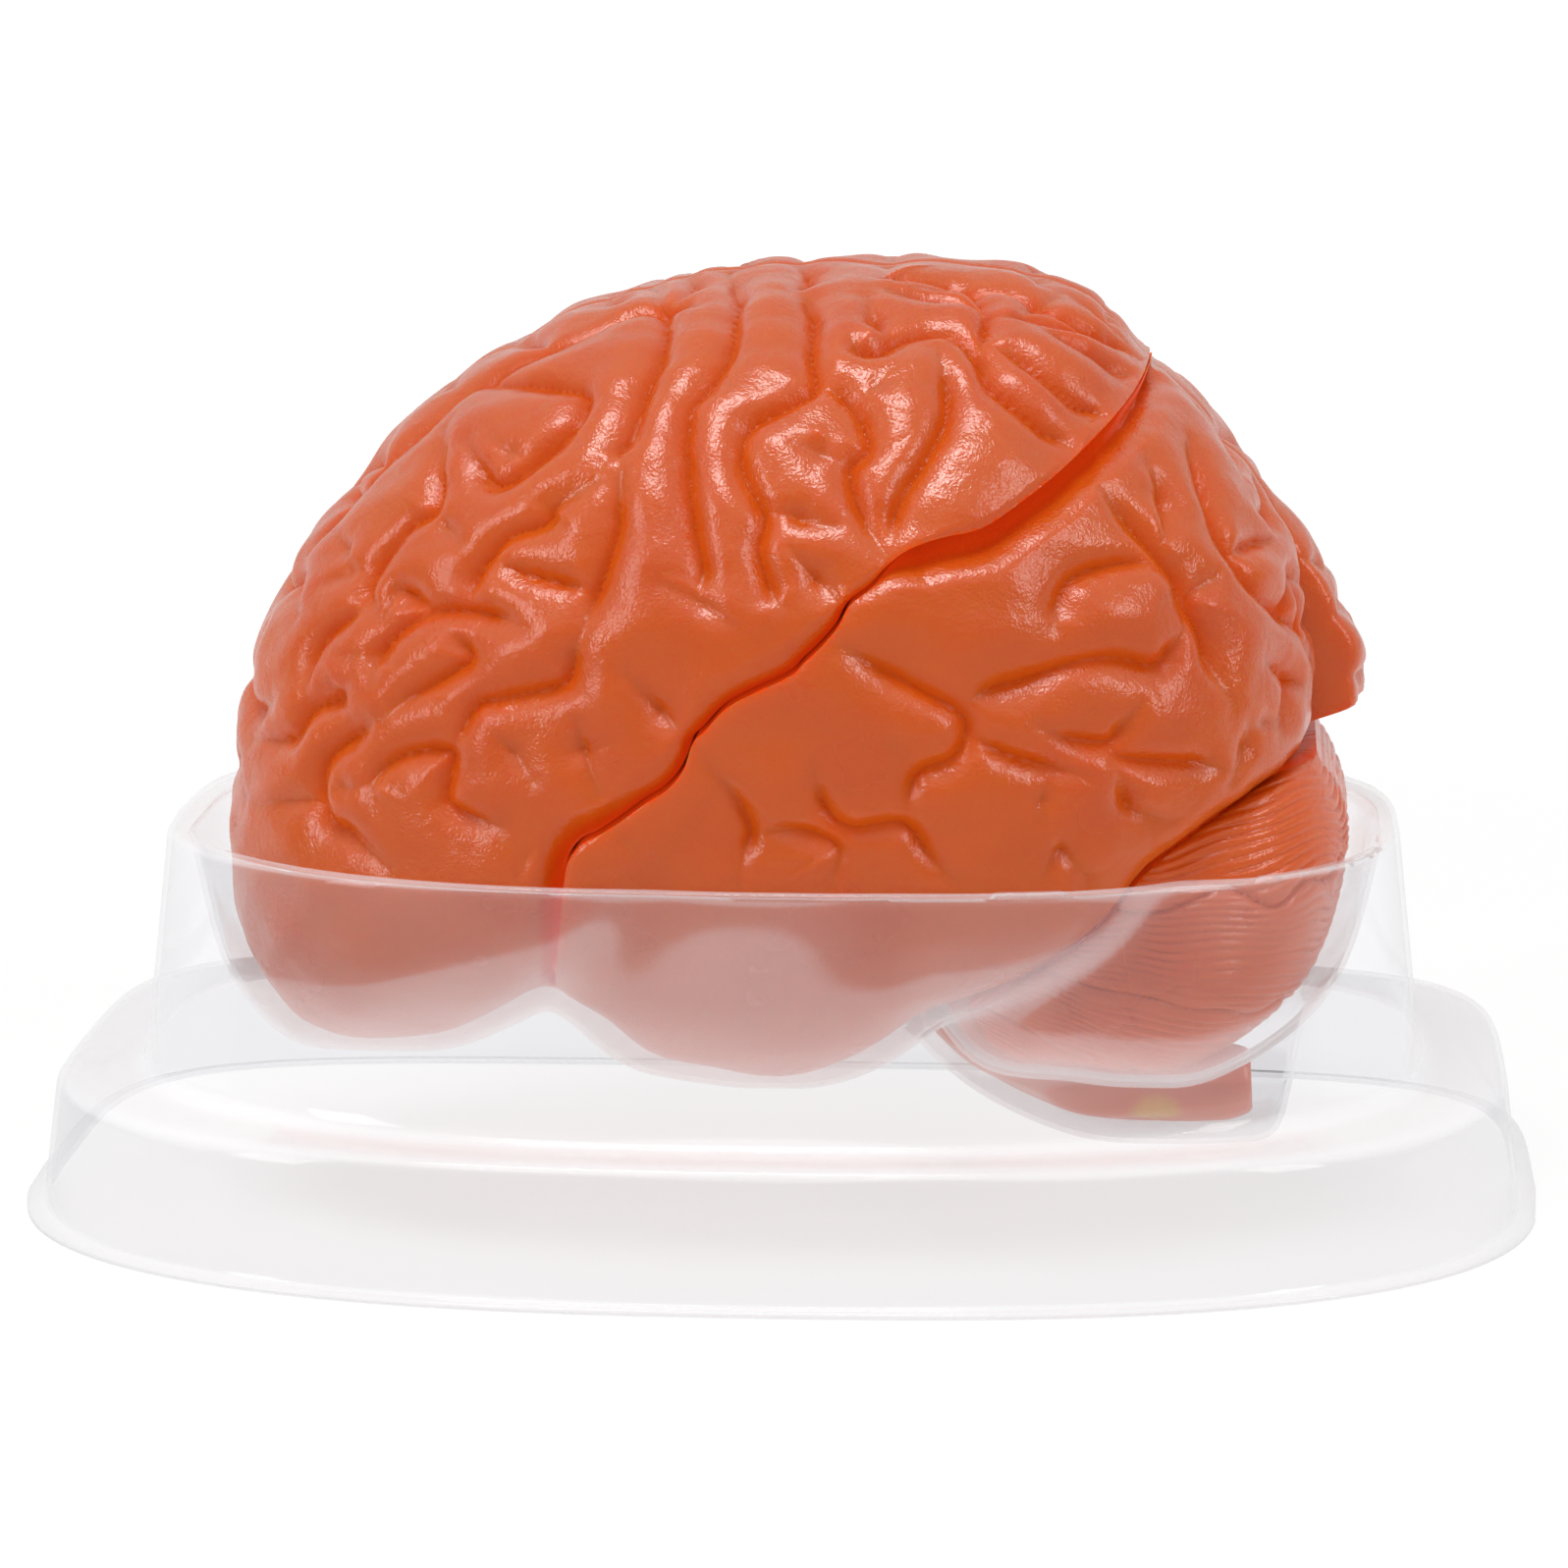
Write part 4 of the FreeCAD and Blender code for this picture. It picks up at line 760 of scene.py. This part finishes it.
def stem_skins():
    """Closed skins of the two halves of the brainstem, with the fine ridges of the pons."""
    line = smooth_curve(stem_line, 14)
    n = len(line)
    ribs = 48
    along = np.gradient(line[:, :2], axis=0)
    along /= np.linalg.norm(along, axis=1)[:, None]
    normal = np.stack([along[:, 1], -along[:, 0]], 1)
    t = np.linspace(0, math.pi, ribs + 1)
    run = np.linalg.norm(line[-1, :2] - line[:, :2], axis=1)
    r = line[:, 2:3] * (0.72 + 0.28 * np.sqrt(np.clip(run / 4.0, 0, 1)))[:, None]
    c, s = np.cos(t)[None], np.sin(t)[None]
    x = line[:, 0:1] + normal[:, 0:1] * r * c
    z = line[:, 1:2] + normal[:, 1:2] * r * c
    y = -r * s * 1.05 - midline_gap / 2
    body = np.stack([x, y, z], -1)
    middle = np.stack([line[:, 0], np.zeros(n), line[:, 1]], 1)[:, None, :]
    wave = 0.25 * ripple(body.reshape(-1, 3), [6, 8, 11, 14], 21).reshape(n, ribs + 1)
    pons = np.exp(-((middle[..., 2] - pons_middle) / pons_reach) ** 2) * pons_ridge
    pons = pons * np.sin(body[..., 2] * 2 * math.pi / pons_ridge_spacing)
    out = body - middle
    out /= np.linalg.norm(out, axis=2)[..., None]
    out *= np.minimum(1, np.sin(t) * 3)[None, :, None]
    body = body + out * (wave + pons - stem_inset)[..., None]
    faces = quads(n - 1, ribs, 0)
    first = list(range(ribs + 1))
    last = [(n - 1) * (ribs + 1) + k for k in range(ribs + 1)]
    flat = [i * (ribs + 1) for i in range(n)] + [i * (ribs + 1) + ribs for i in reversed(range(n))]
    points = fitted(body.reshape(-1, 3))
    return [make_object("brainstem_skin_" + side, points * (1, turned, 1), faces, [first, last, flat])
            for side, turned in (("left", 1), ("right", -1))]


skins["brainstem"] = stem_skins()


def grown(source, growth):
    """Copy of a closed mesh moved out along its normals, as a cutter."""
    mesh = source.data.copy()
    cutter = put("cutter", mesh)
    cutter.matrix_world = source.matrix_world.copy()
    weld(mesh, 1e-6)
    normals, places = np.empty((2, len(mesh.vertices) * 3))
    mesh.vertex_normals.foreach_get("vector", normals)
    mesh.vertices.foreach_get("co", places)
    mesh.vertices.foreach_set("co", places + normals * growth * 0.001)
    mesh.update()
    return cutter


def block(low, high):
    """Box from one corner to the other, in millimetres, as a cutter."""
    spans = list(zip(low, high))
    corners = [(x, y, z) for x in spans[0] for y in spans[1] for z in spans[2]]
    faces = [(0, 1, 3, 2), (4, 6, 7, 5), (0, 4, 5, 1), (2, 3, 7, 6), (0, 2, 6, 4), (1, 5, 7, 3)]
    return make_object("cutter", np.array(corners, float), faces)


def carve(obj, cutters):
    """Takes closed cutters out of a closed skin."""
    for cutter in cutters:
        cut = obj.modifiers.new("cut", "BOOLEAN")
        cut.operation = "DIFFERENCE"
        cut.solver = "MANIFOLD"
        cut.object = cutter
    view = bpy.context.evaluated_depsgraph_get()
    mesh = bpy.data.meshes.new_from_object(obj.evaluated_get(view))
    obj.modifiers.clear()
    obj.data = mesh
    for cutter in cutters:
        bpy.data.objects.remove(cutter)


def stem_slot(side):
    """The upright hollow in a lower piece that the brainstem stands in."""
    front = min(x - r for x, z, r in stem_line[:5]) * scale[0] - stem_slot_play
    back = max(x + r for x, z, r in stem_line[:5]) * scale[0] + stem_slot_back_play
    top = stem_line[0][1] * scale[2] + shift_up[2] + 2 + stem_clearance
    inner, outer = (-stem_slot_width / 2, 1.0) if side == "left" else (-1.0, stem_slot_width / 2)
    return block((front, inner, -1.0), (back, outer, top))


sockets = {
    "frontoparietal": {"seam_pins": pin_running_clearance, "frontoparietal_magnets": magnet_clearance},
    "temporo_occipital": {"seam_pins": pin_press_clearance, "cerebellum_pin": pin_running_clearance,
                          "temporo_occipital_magnets": magnet_clearance},
    "cerebellum": {"cerebellum_pin": pin_press_clearance, "cerebellum_magnet": magnet_clearance}}
for number, side in enumerate(("left", "right")):
    for name, held in sockets.items():
        cutters = [grown(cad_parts["%s_%s" % (node, side)], play) for node, play in held.items()]
        if name == "temporo_occipital":
            cutters.append(stem_slot(side))
        if name == "cerebellum":
            cutters.append(grown(skins["brainstem"][number], stem_clearance))
        carve(skins[name][number], cutters)
bodies = {"frontoparietal": "upper", "temporo_occipital": "lower"}
for name, pair in skins.items():
    for obj, side in zip(pair, ("left", "right")):
        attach(obj, "%s_%s" % (bodies[name], side) if name in bodies else "stand_and_stem")
        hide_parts("%s_%s" % (name, side))


def heights_under(lobe, loop, x, y):
    """Height of a lobe's underside over places x by y, nan beside it, in traced millimetres."""
    p, q = loop[:, :2], np.roll(loop[:, :2], -1, axis=0)
    out = np.full((len(x), len(y)), np.nan)
    for i, place in enumerate(x):
        cross = (p[:, 0] <= place) != (q[:, 0] <= place)
        if not cross.any():
            continue
        a, b = p[cross], q[cross]
        z = a[:, 1] + (b[:, 1] - a[:, 1]) * (place - a[:, 0]) / (b[:, 0] - a[:, 0])
        levels = np.linspace(z.min() + 0.01, z.max() - 0.01, 240)
        width = np.maximum.accumulate(lobe.bulge(np.full(240, place), levels))
        out[i] = np.where(y <= width[-1], np.interp(y, width + np.arange(240) * 1e-9, levels), np.nan)
    return out


def blurred(a, size):
    """Grid smoothed by a bell of a size in grid steps."""
    reach = int(3 * size)
    k = np.exp(-0.5 * (np.arange(-reach, reach + 1) / size) ** 2)
    k /= k.sum()
    for axis in (0, 1):
        pad = [(reach, reach) if m == axis else (0, 0) for m in (0, 1)]
        wide = np.pad(a, pad, mode="edge")
        a = sum(w * np.take(wide, np.arange(a.shape[axis]) + i, axis=axis) for i, w in enumerate(k))
    return a


def pocket_map():
    """Heights of the pocket's face on a millimetre grid of the stand, rising steeply past the brain."""
    x = np.arange(-104.0, 105.0)
    y = np.arange(0.0, 75.0)
    flat = np.maximum(y - pocket_side_clearance, 0.0) / scale[1]
    low_loop = outline(cerebellum_top_trace + cerebellum_low_trace[1:-1], 24)
    found = []
    for step in (-pocket_end_clearance, 0.0, pocket_end_clearance):
        for lobe, loop in ((cerebrum, fine_loop), (cerebellum, low_loop)):
            h = heights_under(lobe, loop, (x + step) / scale[0], flat)
            found.append(h * scale[2] + shift_up[2] - pocket_floor_clearance)
    found = np.stack(found)
    found[np.isnan(found)] = nowhere
    h = found.min(0)
    for _ in range(24):
        for axis, move in ((0, 1), (0, -1), (1, 1), (1, -1)):
            near = np.roll(h, move, axis)
            edge = 0 if move == 1 else -1
            if axis == 0:
                near[edge] = nowhere
            else:
                near[:, edge] = nowhere
            h = np.minimum(h, near + pocket_slope)
    h = np.minimum(h, pocket_limit)
    low = np.full(len(x), nowhere)
    line = smooth_curve(stem_line, 30)
    for i, place in enumerate(x / scale[0]):
        near = np.abs(place - line[:, 0]) < line[:, 2]
        if near.any():
            low[i] = (line[near, 1] - np.sqrt(line[near, 2] ** 2 - (place - line[near, 0]) ** 2)).min()
    floor = low * scale[2] + shift_up[2] - well_clearance
    trough = np.minimum(h, floor[:, None])
    up_side = soft_step((y - well_floor_width / 2) / (well_mouth_width / 2 - well_floor_width / 2))
    h = np.minimum(h, trough + (h - trough) * up_side[None])
    both = np.concatenate([h[:, :0:-1], h], 1)
    return x, np.concatenate([-y[:0:-1], y]), blurred(both, pocket_blur) - pocket_blur_play


MAP_X, MAP_Y, MAP_H = pocket_map()


def pocket_at(x, y):
    """Height of the pocket's face at places in millimetres, between the points of its grid."""
    i = np.clip((x - MAP_X[0]), 0, len(MAP_X) - 1.001)
    j = np.clip((y - MAP_Y[0]), 0, len(MAP_Y) - 1.001)
    a, b = i.astype(int), j.astype(int)
    f, g = i - a, j - b
    return ((1 - f) * (1 - g) * MAP_H[a, b] + f * (1 - g) * MAP_H[a + 1, b]
            + (1 - f) * g * MAP_H[a, b + 1] + f * g * MAP_H[a + 1, b + 1])


def rolled(h):
    """Pocket height that rolls over into the flat rim."""
    t = np.clip(0.5 + 0.5 * (rim_height - h) / rim_roll, 0, 1)
    return rim_height + (h - rim_height) * t - rim_roll * t * (1 - t)


def ring_points(turn, reach_x, reach_y, front, back):
    """Rounded ring with one roundness on its front half and one on its back half."""
    c, s = np.cos(turn), np.sin(turn)
    power = np.where(s < 0, front, back)
    r = ((np.abs(c) / reach_x) ** power + (np.abs(s) / reach_y) ** power) ** (-1 / power)
    return np.stack([r * c, r * s], 1)


def rounded(keys, cuts):
    """Polyline through key rings with their corners rounded off."""
    keys = np.array(keys, float)
    out = [keys[0]]
    for i in range(1, len(keys) - 1):
        before = keys[i - 1] - keys[i]
        after = keys[i + 1] - keys[i]
        a = np.hypot(before[0], before[2])
        b = np.hypot(after[0], after[2])
        p = keys[i] + before * min(cuts[i] / a, 0.45)
        q = keys[i] + after * min(cuts[i] / b, 0.45)
        for t in np.linspace(0, 1, 7):
            out.append((1 - t) ** 2 * p + 2 * t * (1 - t) * keys[i] + t * t * q)
    out.append(keys[-1])
    return np.array(out)


def tray_skin():
    """The stand: the pocket's face with its mouth, then rings down its outside to the flange."""
    stop = rim_height + rim_roll

    def reach_at(x):
        step = 0.25
        y = np.arange(0, 74, step)
        h = pocket_at(np.full(len(y), x), y)
        over = np.nonzero(h >= stop)[0]
        if len(over) == 0 or over[0] == 0:
            return 0.0
        j = over[0]
        return y[j - 1] + step * (stop - h[j - 1]) / (h[j] - h[j - 1])

    ends = []
    for sign in (-1, 1):
        x = sign * np.arange(60, 103, 0.1)
        h = pocket_at(x, np.zeros(len(x)))
        ends.append(x[np.nonzero(h >= stop)[0][0]])
    middle, half = sum(ends) / 2, (ends[1] - ends[0]) / 2
    columns, rows = int(176 * fine), int(120 * fine)
    grid = np.empty((columns + 1, rows + 1, 3))
    for n in range(columns + 1):
        x = middle - half * math.cos(math.pi * n / columns)
        reach = reach_at(x) if 0 < n < columns else 0.0
        y = np.linspace(-reach, reach, 301)
        xs = np.full(301, x)
        z = rolled(pocket_at(xs, y))
        z[0] = z[-1] = rim_height
        line = np.stack([xs, y, z], 1)
        grid[n] = spread(line, rows) if reach > 0 else line[[0]]
    mouth = np.concatenate([grid[:, 0], grid[::-1, -1][1:-1]])
    turn = np.arctan2(mouth[:, 1], mouth[:, 0])

    end = max(-ends[0], ends[1]) + end_lip - rim_edge_round
    side = np.abs(mouth[:, 1]).max() + side_lip - rim_edge_round
    foot_end, foot_side = end + tub_draft, side + tub_draft
    plinth_end, plinth_side = foot_end + ledge_end_width, foot_side + ledge_side_width
    base_end, base_side = plinth_end + plinth_draft, plinth_side + plinth_draft
    tub = (front_roundness, back_roundness)
    plinth = (plinth_front_roundness, plinth_back_roundness)
    keys = [
        (end - 3, side - 1.2, rim_height, *tub), (end, side, rim_height, *tub),
        (foot_end, foot_side, plinth_height, *tub), (plinth_end, plinth_side, plinth_height, *plinth),
        (base_end, base_side, sheet, *plinth),
        (base_end + flange_width, base_side + flange_width, sheet, *plinth)]
    profile = rounded(keys, [0, 1.6, 3.0, 2.6, 1.0, 0])
    steps = [profile[0]]
    for a, b in zip(profile, profile[1:]):
        count = max(1, int(np.hypot(b[0] - a[0], b[2] - a[2]) / 3.0))
        steps += [a + (b - a) * (k + 1) / count for k in range(count)]
    rings = [mouth]
    for ring in steps:
        xy = ring_points(turn, *ring[[0, 1, 3, 4]])
        rings.append(np.concatenate([xy, np.full((len(turn), 1), ring[2])], 1))
    rings = np.stack(rings)
    first = np.linalg.norm(rings[1][:, :2], axis=1)
    lip = np.linalg.norm(mouth[:, :2], axis=1)
    short = lip > first - 0.3
    rings[1][short, :2] = mouth[short, :2] * ((lip[short] + 0.3) / lip[short])[:, None]

    count = len(mouth)
    pocket = grid.reshape(-1, 3)
    points = [pocket, rings[1:].reshape(-1, 3)]
    faces = [quads(columns, rows, 0)]
    mouth_numbers = np.array([n * (rows + 1) for n in range(columns + 1)]
                             + [n * (rows + 1) + rows for n in range(columns - 1, 0, -1)])
    below = len(pocket) + np.arange((len(rings) - 1) * count).reshape(-1, count)
    numbers = [mouth_numbers, *below]
    for a, b in zip(numbers, numbers[1:]):
        m = np.roll(np.arange(count), -1)
        faces.append(np.stack([a, b, b[m], a[m]], 1))
    points = np.concatenate(points)
    faces = np.concatenate(faces)
    obj = make_object("tray_skin", points, faces, sharp=180.0)
    solid = obj.modifiers.new("sheet", "SOLIDIFY")
    solid.thickness = sheet * 0.001
    solid.offset = -1.0
    solid.use_rim = True
    return obj


tray = tray_skin()
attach(tray, "stand_and_stem")
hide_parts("tray")


class Look:
    """Node tree of a new material or world, emptied, with short ways to fill it."""

    def __init__(self, owner):
        self.owner = owner
        owner.use_nodes = True
        self.nodes, self.links = owner.node_tree.nodes, owner.node_tree.links
        self.nodes.clear()

    def add(self, kind, inputs=None, **settings):
        """Outputs of a new node, whose inputs get a plain value or the output that feeds them."""
        node = self.nodes.new("ShaderNode" + kind)
        for name, value in settings.items():
            setattr(node, name, value)
        for slot, value in (inputs or {}).items():
            socket = node.inputs[slot]
            if isinstance(value, bpy.types.NodeSocket):
                self.links.new(value, socket)
            elif socket.type == "RGBA":
                socket.default_value = (*value, 1)
            else:
                socket.default_value = value
        return node.outputs

    def ramp(self, value, low, high, start=0.0, stop=1.0):
        """A value turned from low..high into start..stop, with soft ends."""
        ends = {"Value": value, "From Min": low, "From Max": high, "To Min": start, "To Max": stop}
        return self.add("MapRange", ends, interpolation_type="SMOOTHSTEP")["Result"]

    def noise(self, where, scale, detail):
        return self.add("TexNoise", {"Vector": where, "Scale": scale, "Detail": detail})["Fac"]

    def bump(self, height, strength, distance):
        return self.add("Bump", {"Height": height, "Strength": strength, "Distance": distance})["Normal"]

    def split(self, vector):
        return self.add("SeparateXYZ", {0: vector})

    def calc(self, operation, *values):
        return self.add("Math", dict(enumerate(values)), operation=operation)["Value"]

    def blend(self, share, first, second):
        """Mix of two colours by a share."""
        return self.add("Mix", {0: share, 6: first, 7: second}, data_type="RGBA")[2]

    def mix(self, share, first, second):
        """Mix of two shaders by a share."""
        return self.add("MixShader", {0: share, 1: first, 2: second})[0]

    def finish(self, shader, kind="OutputMaterial"):
        self.add(kind, {"Surface": shader})
        return self.owner


white = (1.0, 1.0, 1.0)


def soft_plastic(name, colour, deep, glow, relief, spot=None):
    """Waxy translucent plastic: light under its skin and a fine orange-peel gloss, with painted shade
    where the
    sunk attribute is high: a deeper colour, less sheen and a painted red glow. A spot is a place, a
    radius and a colour painted on it."""
    look = Look(bpy.data.materials.new(name))
    where = look.add("TexCoord")["Object"]
    sunk = look.add("Attribute", attribute_name="sunk")["Fac"]
    cloud = look.noise(where, 60.0, 3.0)
    tone = look.blend(look.ramp(cloud, 0.4, 0.75, 0.0, 0.3), colour, deep)
    # Painted shade: the colour deepens where the sunk attribute is high, in furrows, the gaps and on cut
    # walls
    tone = look.blend(look.ramp(sunk, 1.4, 5.5), tone, deep)
    if spot:
        place, radius, paint = spot
        away = look.add("VectorMath", {0: where, 1: place}, operation="DISTANCE")["Value"]
        tone = look.blend(look.ramp(away, radius * 0.7, radius * 1.3, 1.0, 0.0), tone, paint)
    peel = look.calc("MULTIPLY_ADD", look.noise(where, 2300.0, 1.0), 0.4, look.noise(where, 420.0, 2.0))
    return look.finish(look.add("BsdfPrincipled", {
        "Base Color": tone,
        "Normal": look.bump(peel, relief, 0.00022),
        "Roughness": look.ramp(cloud, 0.2, 0.8, 0.17, 0.30),
        "IOR": 1.48,
        # Painted shade and painted glow: less sheen and a red emission where sunk, though the plastic is
        # no lamp
        "Specular IOR Level": look.ramp(sunk, 1.2, 3.2, 0.7, 0.14),
        "Emission Color": (1.0, 0.085, 0.008),
        "Emission Strength": look.ramp(sunk, 0.8, 6.0, 0.0, 0.20),
        "Subsurface Weight": glow,
        "Subsurface Radius": (1.0, 0.25, 0.08),
        "Subsurface Scale": 0.0045})[0])


def clear_plastic(name):
    """Thin clear sheet: see-through, mirror-like towards its edges, with a faint wavy milky veil that is
    partly its own haze and partly painted reflections and a painted white glow. Rays that carry light to
    other surfaces pass it almost freely."""
    look = Look(bpy.data.materials.new(name))
    where = look.add("TexCoord")["Object"]
    rays = look.add("LightPath")
    below_ledge = look.ramp(look.split(where)["Z"], 0.0205, 0.019)
    tint = look.blend(below_ledge, (0.990, 0.990, 0.994), (0.94, 0.939, 0.944))
    tint = look.blend(rays["Is Camera Ray"], white, tint)
    through = look.add("BsdfTransparent", {"Color": tint})[0]
    relief = look.bump(look.noise(where, 35.0, 1.0), 0.5, 0.0012)
    gloss = look.add("BsdfGlossy", {"Color": white, "Roughness": 0.05, "Normal": relief})[0]
    facing = look.add("LayerWeight", {"Blend": 0.5})["Facing"]
    mirroring = look.calc("MULTIPLY_ADD", look.calc("POWER", facing, 5.0), 0.6, 0.014)
    veil = look.add("BsdfDiffuse", {"Color": (0.92, 0.92, 0.94)})[0]
    # Painted glow: the veil shines white by itself, though the sheet is no lamp
    veil_painted_glow = look.add("Emission", {"Color": white, "Strength": 0.17})[0]
    veil_with_painted_glow = look.add("AddShader", {0: veil, 1: veil_painted_glow})[0]
    # Painted reflections: the veil grows where the wavy sheet faces up or down and in sharp-edged patches
    waves = look.bump(look.noise(where, 26.0, 0.0), 1.0, 0.011)
    level = look.calc("ABSOLUTE", look.split(waves)["Z"])
    painted_reflection_patches = look.ramp(level, 0.385, 0.425, 0.012, 0.075)
    veil_and_painted_reflection_share = look.calc("ADD", painted_reflection_patches, look.ramp(level, 0.1, 0.95, 0.004, 0.13))
    sheet_seen = look.mix(veil_and_painted_reflection_share, look.mix(mirroring, through, gloss), veil_with_painted_glow)
    passed = look.add("BsdfTransparent", {"Color": (0.982, 0.982, 0.982)})[0]
    seen = look.calc("MAXIMUM", rays["Is Camera Ray"], rays["Is Glossy Ray"])
    return look.finish(look.mix(seen, passed, sheet_seen))


def plain(name, colour, metallic, roughness):
    look = Look(bpy.data.materials.new(name))
    values = {"Base Color": colour, "Metallic": metallic, "Roughness": roughness}
    return look.finish(look.add("BsdfPrincipled", values)[0])


def dress(obj, material):
    obj.data.materials.clear()
    obj.data.materials.append(material)


yellow_spot = ((0.058, -0.006, 0.012), 0.004, (0.72, 0.38, 0.14))
# Second colour of each plastic: the deeper colour of its painted shade, also mixed in a little at random
cortex_look = soft_plastic("cortex_plastic_look", (0.62, 0.100, 0.006), (0.56, 0.052, 0.003), 0.75, 1.0)
cerebellum_look = soft_plastic("cerebellum_plastic_look", (0.70, 0.106, 0.006), (0.58, 0.055, 0.003),
                               0.6, 0.8)
stem_look = soft_plastic("stem_plastic_look", (0.72, 0.24, 0.16), (0.60, 0.12, 0.06), 0.5, 0.5,
                         yellow_spot)
tray_look = clear_plastic("clear_sheet_look")
steel_look = plain("pin_steel_look", (0.62, 0.62, 0.62), 1.0, 0.3)
magnet_look = plain("magnet_metal_look", (0.72, 0.72, 0.72), 1.0, 0.2)
for name, look in (("frontoparietal", cortex_look), ("temporo_occipital", cortex_look),
                   ("cerebellum", cerebellum_look), ("brainstem", stem_look)):
    for obj in skins[name]:
        dress(obj, look)
dress(tray, tray_look)
for name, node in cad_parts.items():
    if "pin" in name or "dowel" in name:
        dress(node, steel_look)
    elif "magnet" in name:
        dress(node, magnet_look)


def floor_plane():
    """Wide pale floor. Gloss sees it grey in front of the stand and pale behind."""
    reach, level = 6.0, -0.0002
    corners = [(x * reach, y * reach, level) for x, y in ((-1, -1), (1, -1), (1, 1), (-1, 1))]
    mesh = bpy.data.meshes.new("floor")
    mesh.from_pydata(corners, [], [(0, 1, 2, 3)])
    look = Look(bpy.data.materials.new("floor_look"))
    where = look.add("TexCoord")["Object"]
    away = look.add("VectorMath", {0: where}, operation="LENGTH")["Value"]
    behind = look.ramp(look.split(where)["Y"], -0.09, 0.02)
    mirrored = look.blend(behind, (0.3, 0.3, 0.3), (0.86, 0.86, 0.87))
    colour = look.blend(look.add("LightPath")["Is Glossy Ray"], white, mirrored)
    shade = look.add("BsdfDiffuse", {"Color": (0.22, 0.22, 0.22)})[0]
    light = look.add("Emission", {"Color": colour, "Strength": look.ramp(away, 0.2, 1.2, 0.82, 0.98)})[0]
    mesh.materials.append(look.finish(look.add("AddShader", {0: shade, 1: light})[0]))
    put("floor", mesh)


floor_plane()
light_aim = Vector((0, 0, 0.08))
for name, place, size, power in (("top_light", (-0.15, -0.35, 1.15), (0.6, 0.35), 6.6),
                                 ("left_light", (-1.1, -0.75, 0.55), (0.35, 0.7), 3.4),
                                 ("right_light", (1.1, -0.65, 0.65), (0.3, 0.7), 3.4)):
    lamp = bpy.data.lights.new(name, "AREA")
    lamp.shape = "RECTANGLE"
    lamp.size, lamp.size_y = size
    lamp.energy = power
    obj = put(name, lamp)
    obj.location = place
    obj.rotation_euler = (light_aim - Vector(place)).to_track_quat("-Z", "Y").to_euler()

# The world: white to the camera, a dimmer fill on surfaces, and for gloss a glow above and behind
world = bpy.data.worlds.new("studio")
bpy.context.scene.world = world
sky = Look(world)
rays = sky.add("LightPath")
towards = sky.split(sky.add("TexCoord")["Generated"])
above = sky.ramp(towards["Z"], 0.05, 0.6)
behind = sky.ramp(towards["Y"], -0.3, 0.6, 0.3, 1.0)
shown = sky.add("Background", {"Strength": 1.0})[0]
fill = sky.add("Background", {"Strength": 0.47})[0]
mirror = sky.add("Background", {"Strength": sky.calc("MAXIMUM", above, behind)})[0]
seen = sky.calc("MAXIMUM", rays["Is Camera Ray"], rays["Is Transmission Ray"])
sky.finish(sky.mix(seen, sky.mix(rays["Is Glossy Ray"], fill, mirror), shown), "OutputWorld")

sensor_width = 36.0
scene = bpy.context.scene
scene.view_settings.view_transform = "Standard"
camera_data = bpy.data.cameras.new("camera")
camera_data.sensor_width = sensor_width
camera_data.lens = view_pixels_per_radian / view_side * sensor_width
camera_data.clip_end = 20.0
camera = put("camera", camera_data)
camera.location = Vector((EYE * 0.001).tolist())
camera.rotation_euler = Vector(FORWARD.tolist()).to_track_quat("-Z", "Y").to_euler()
scene.camera = camera
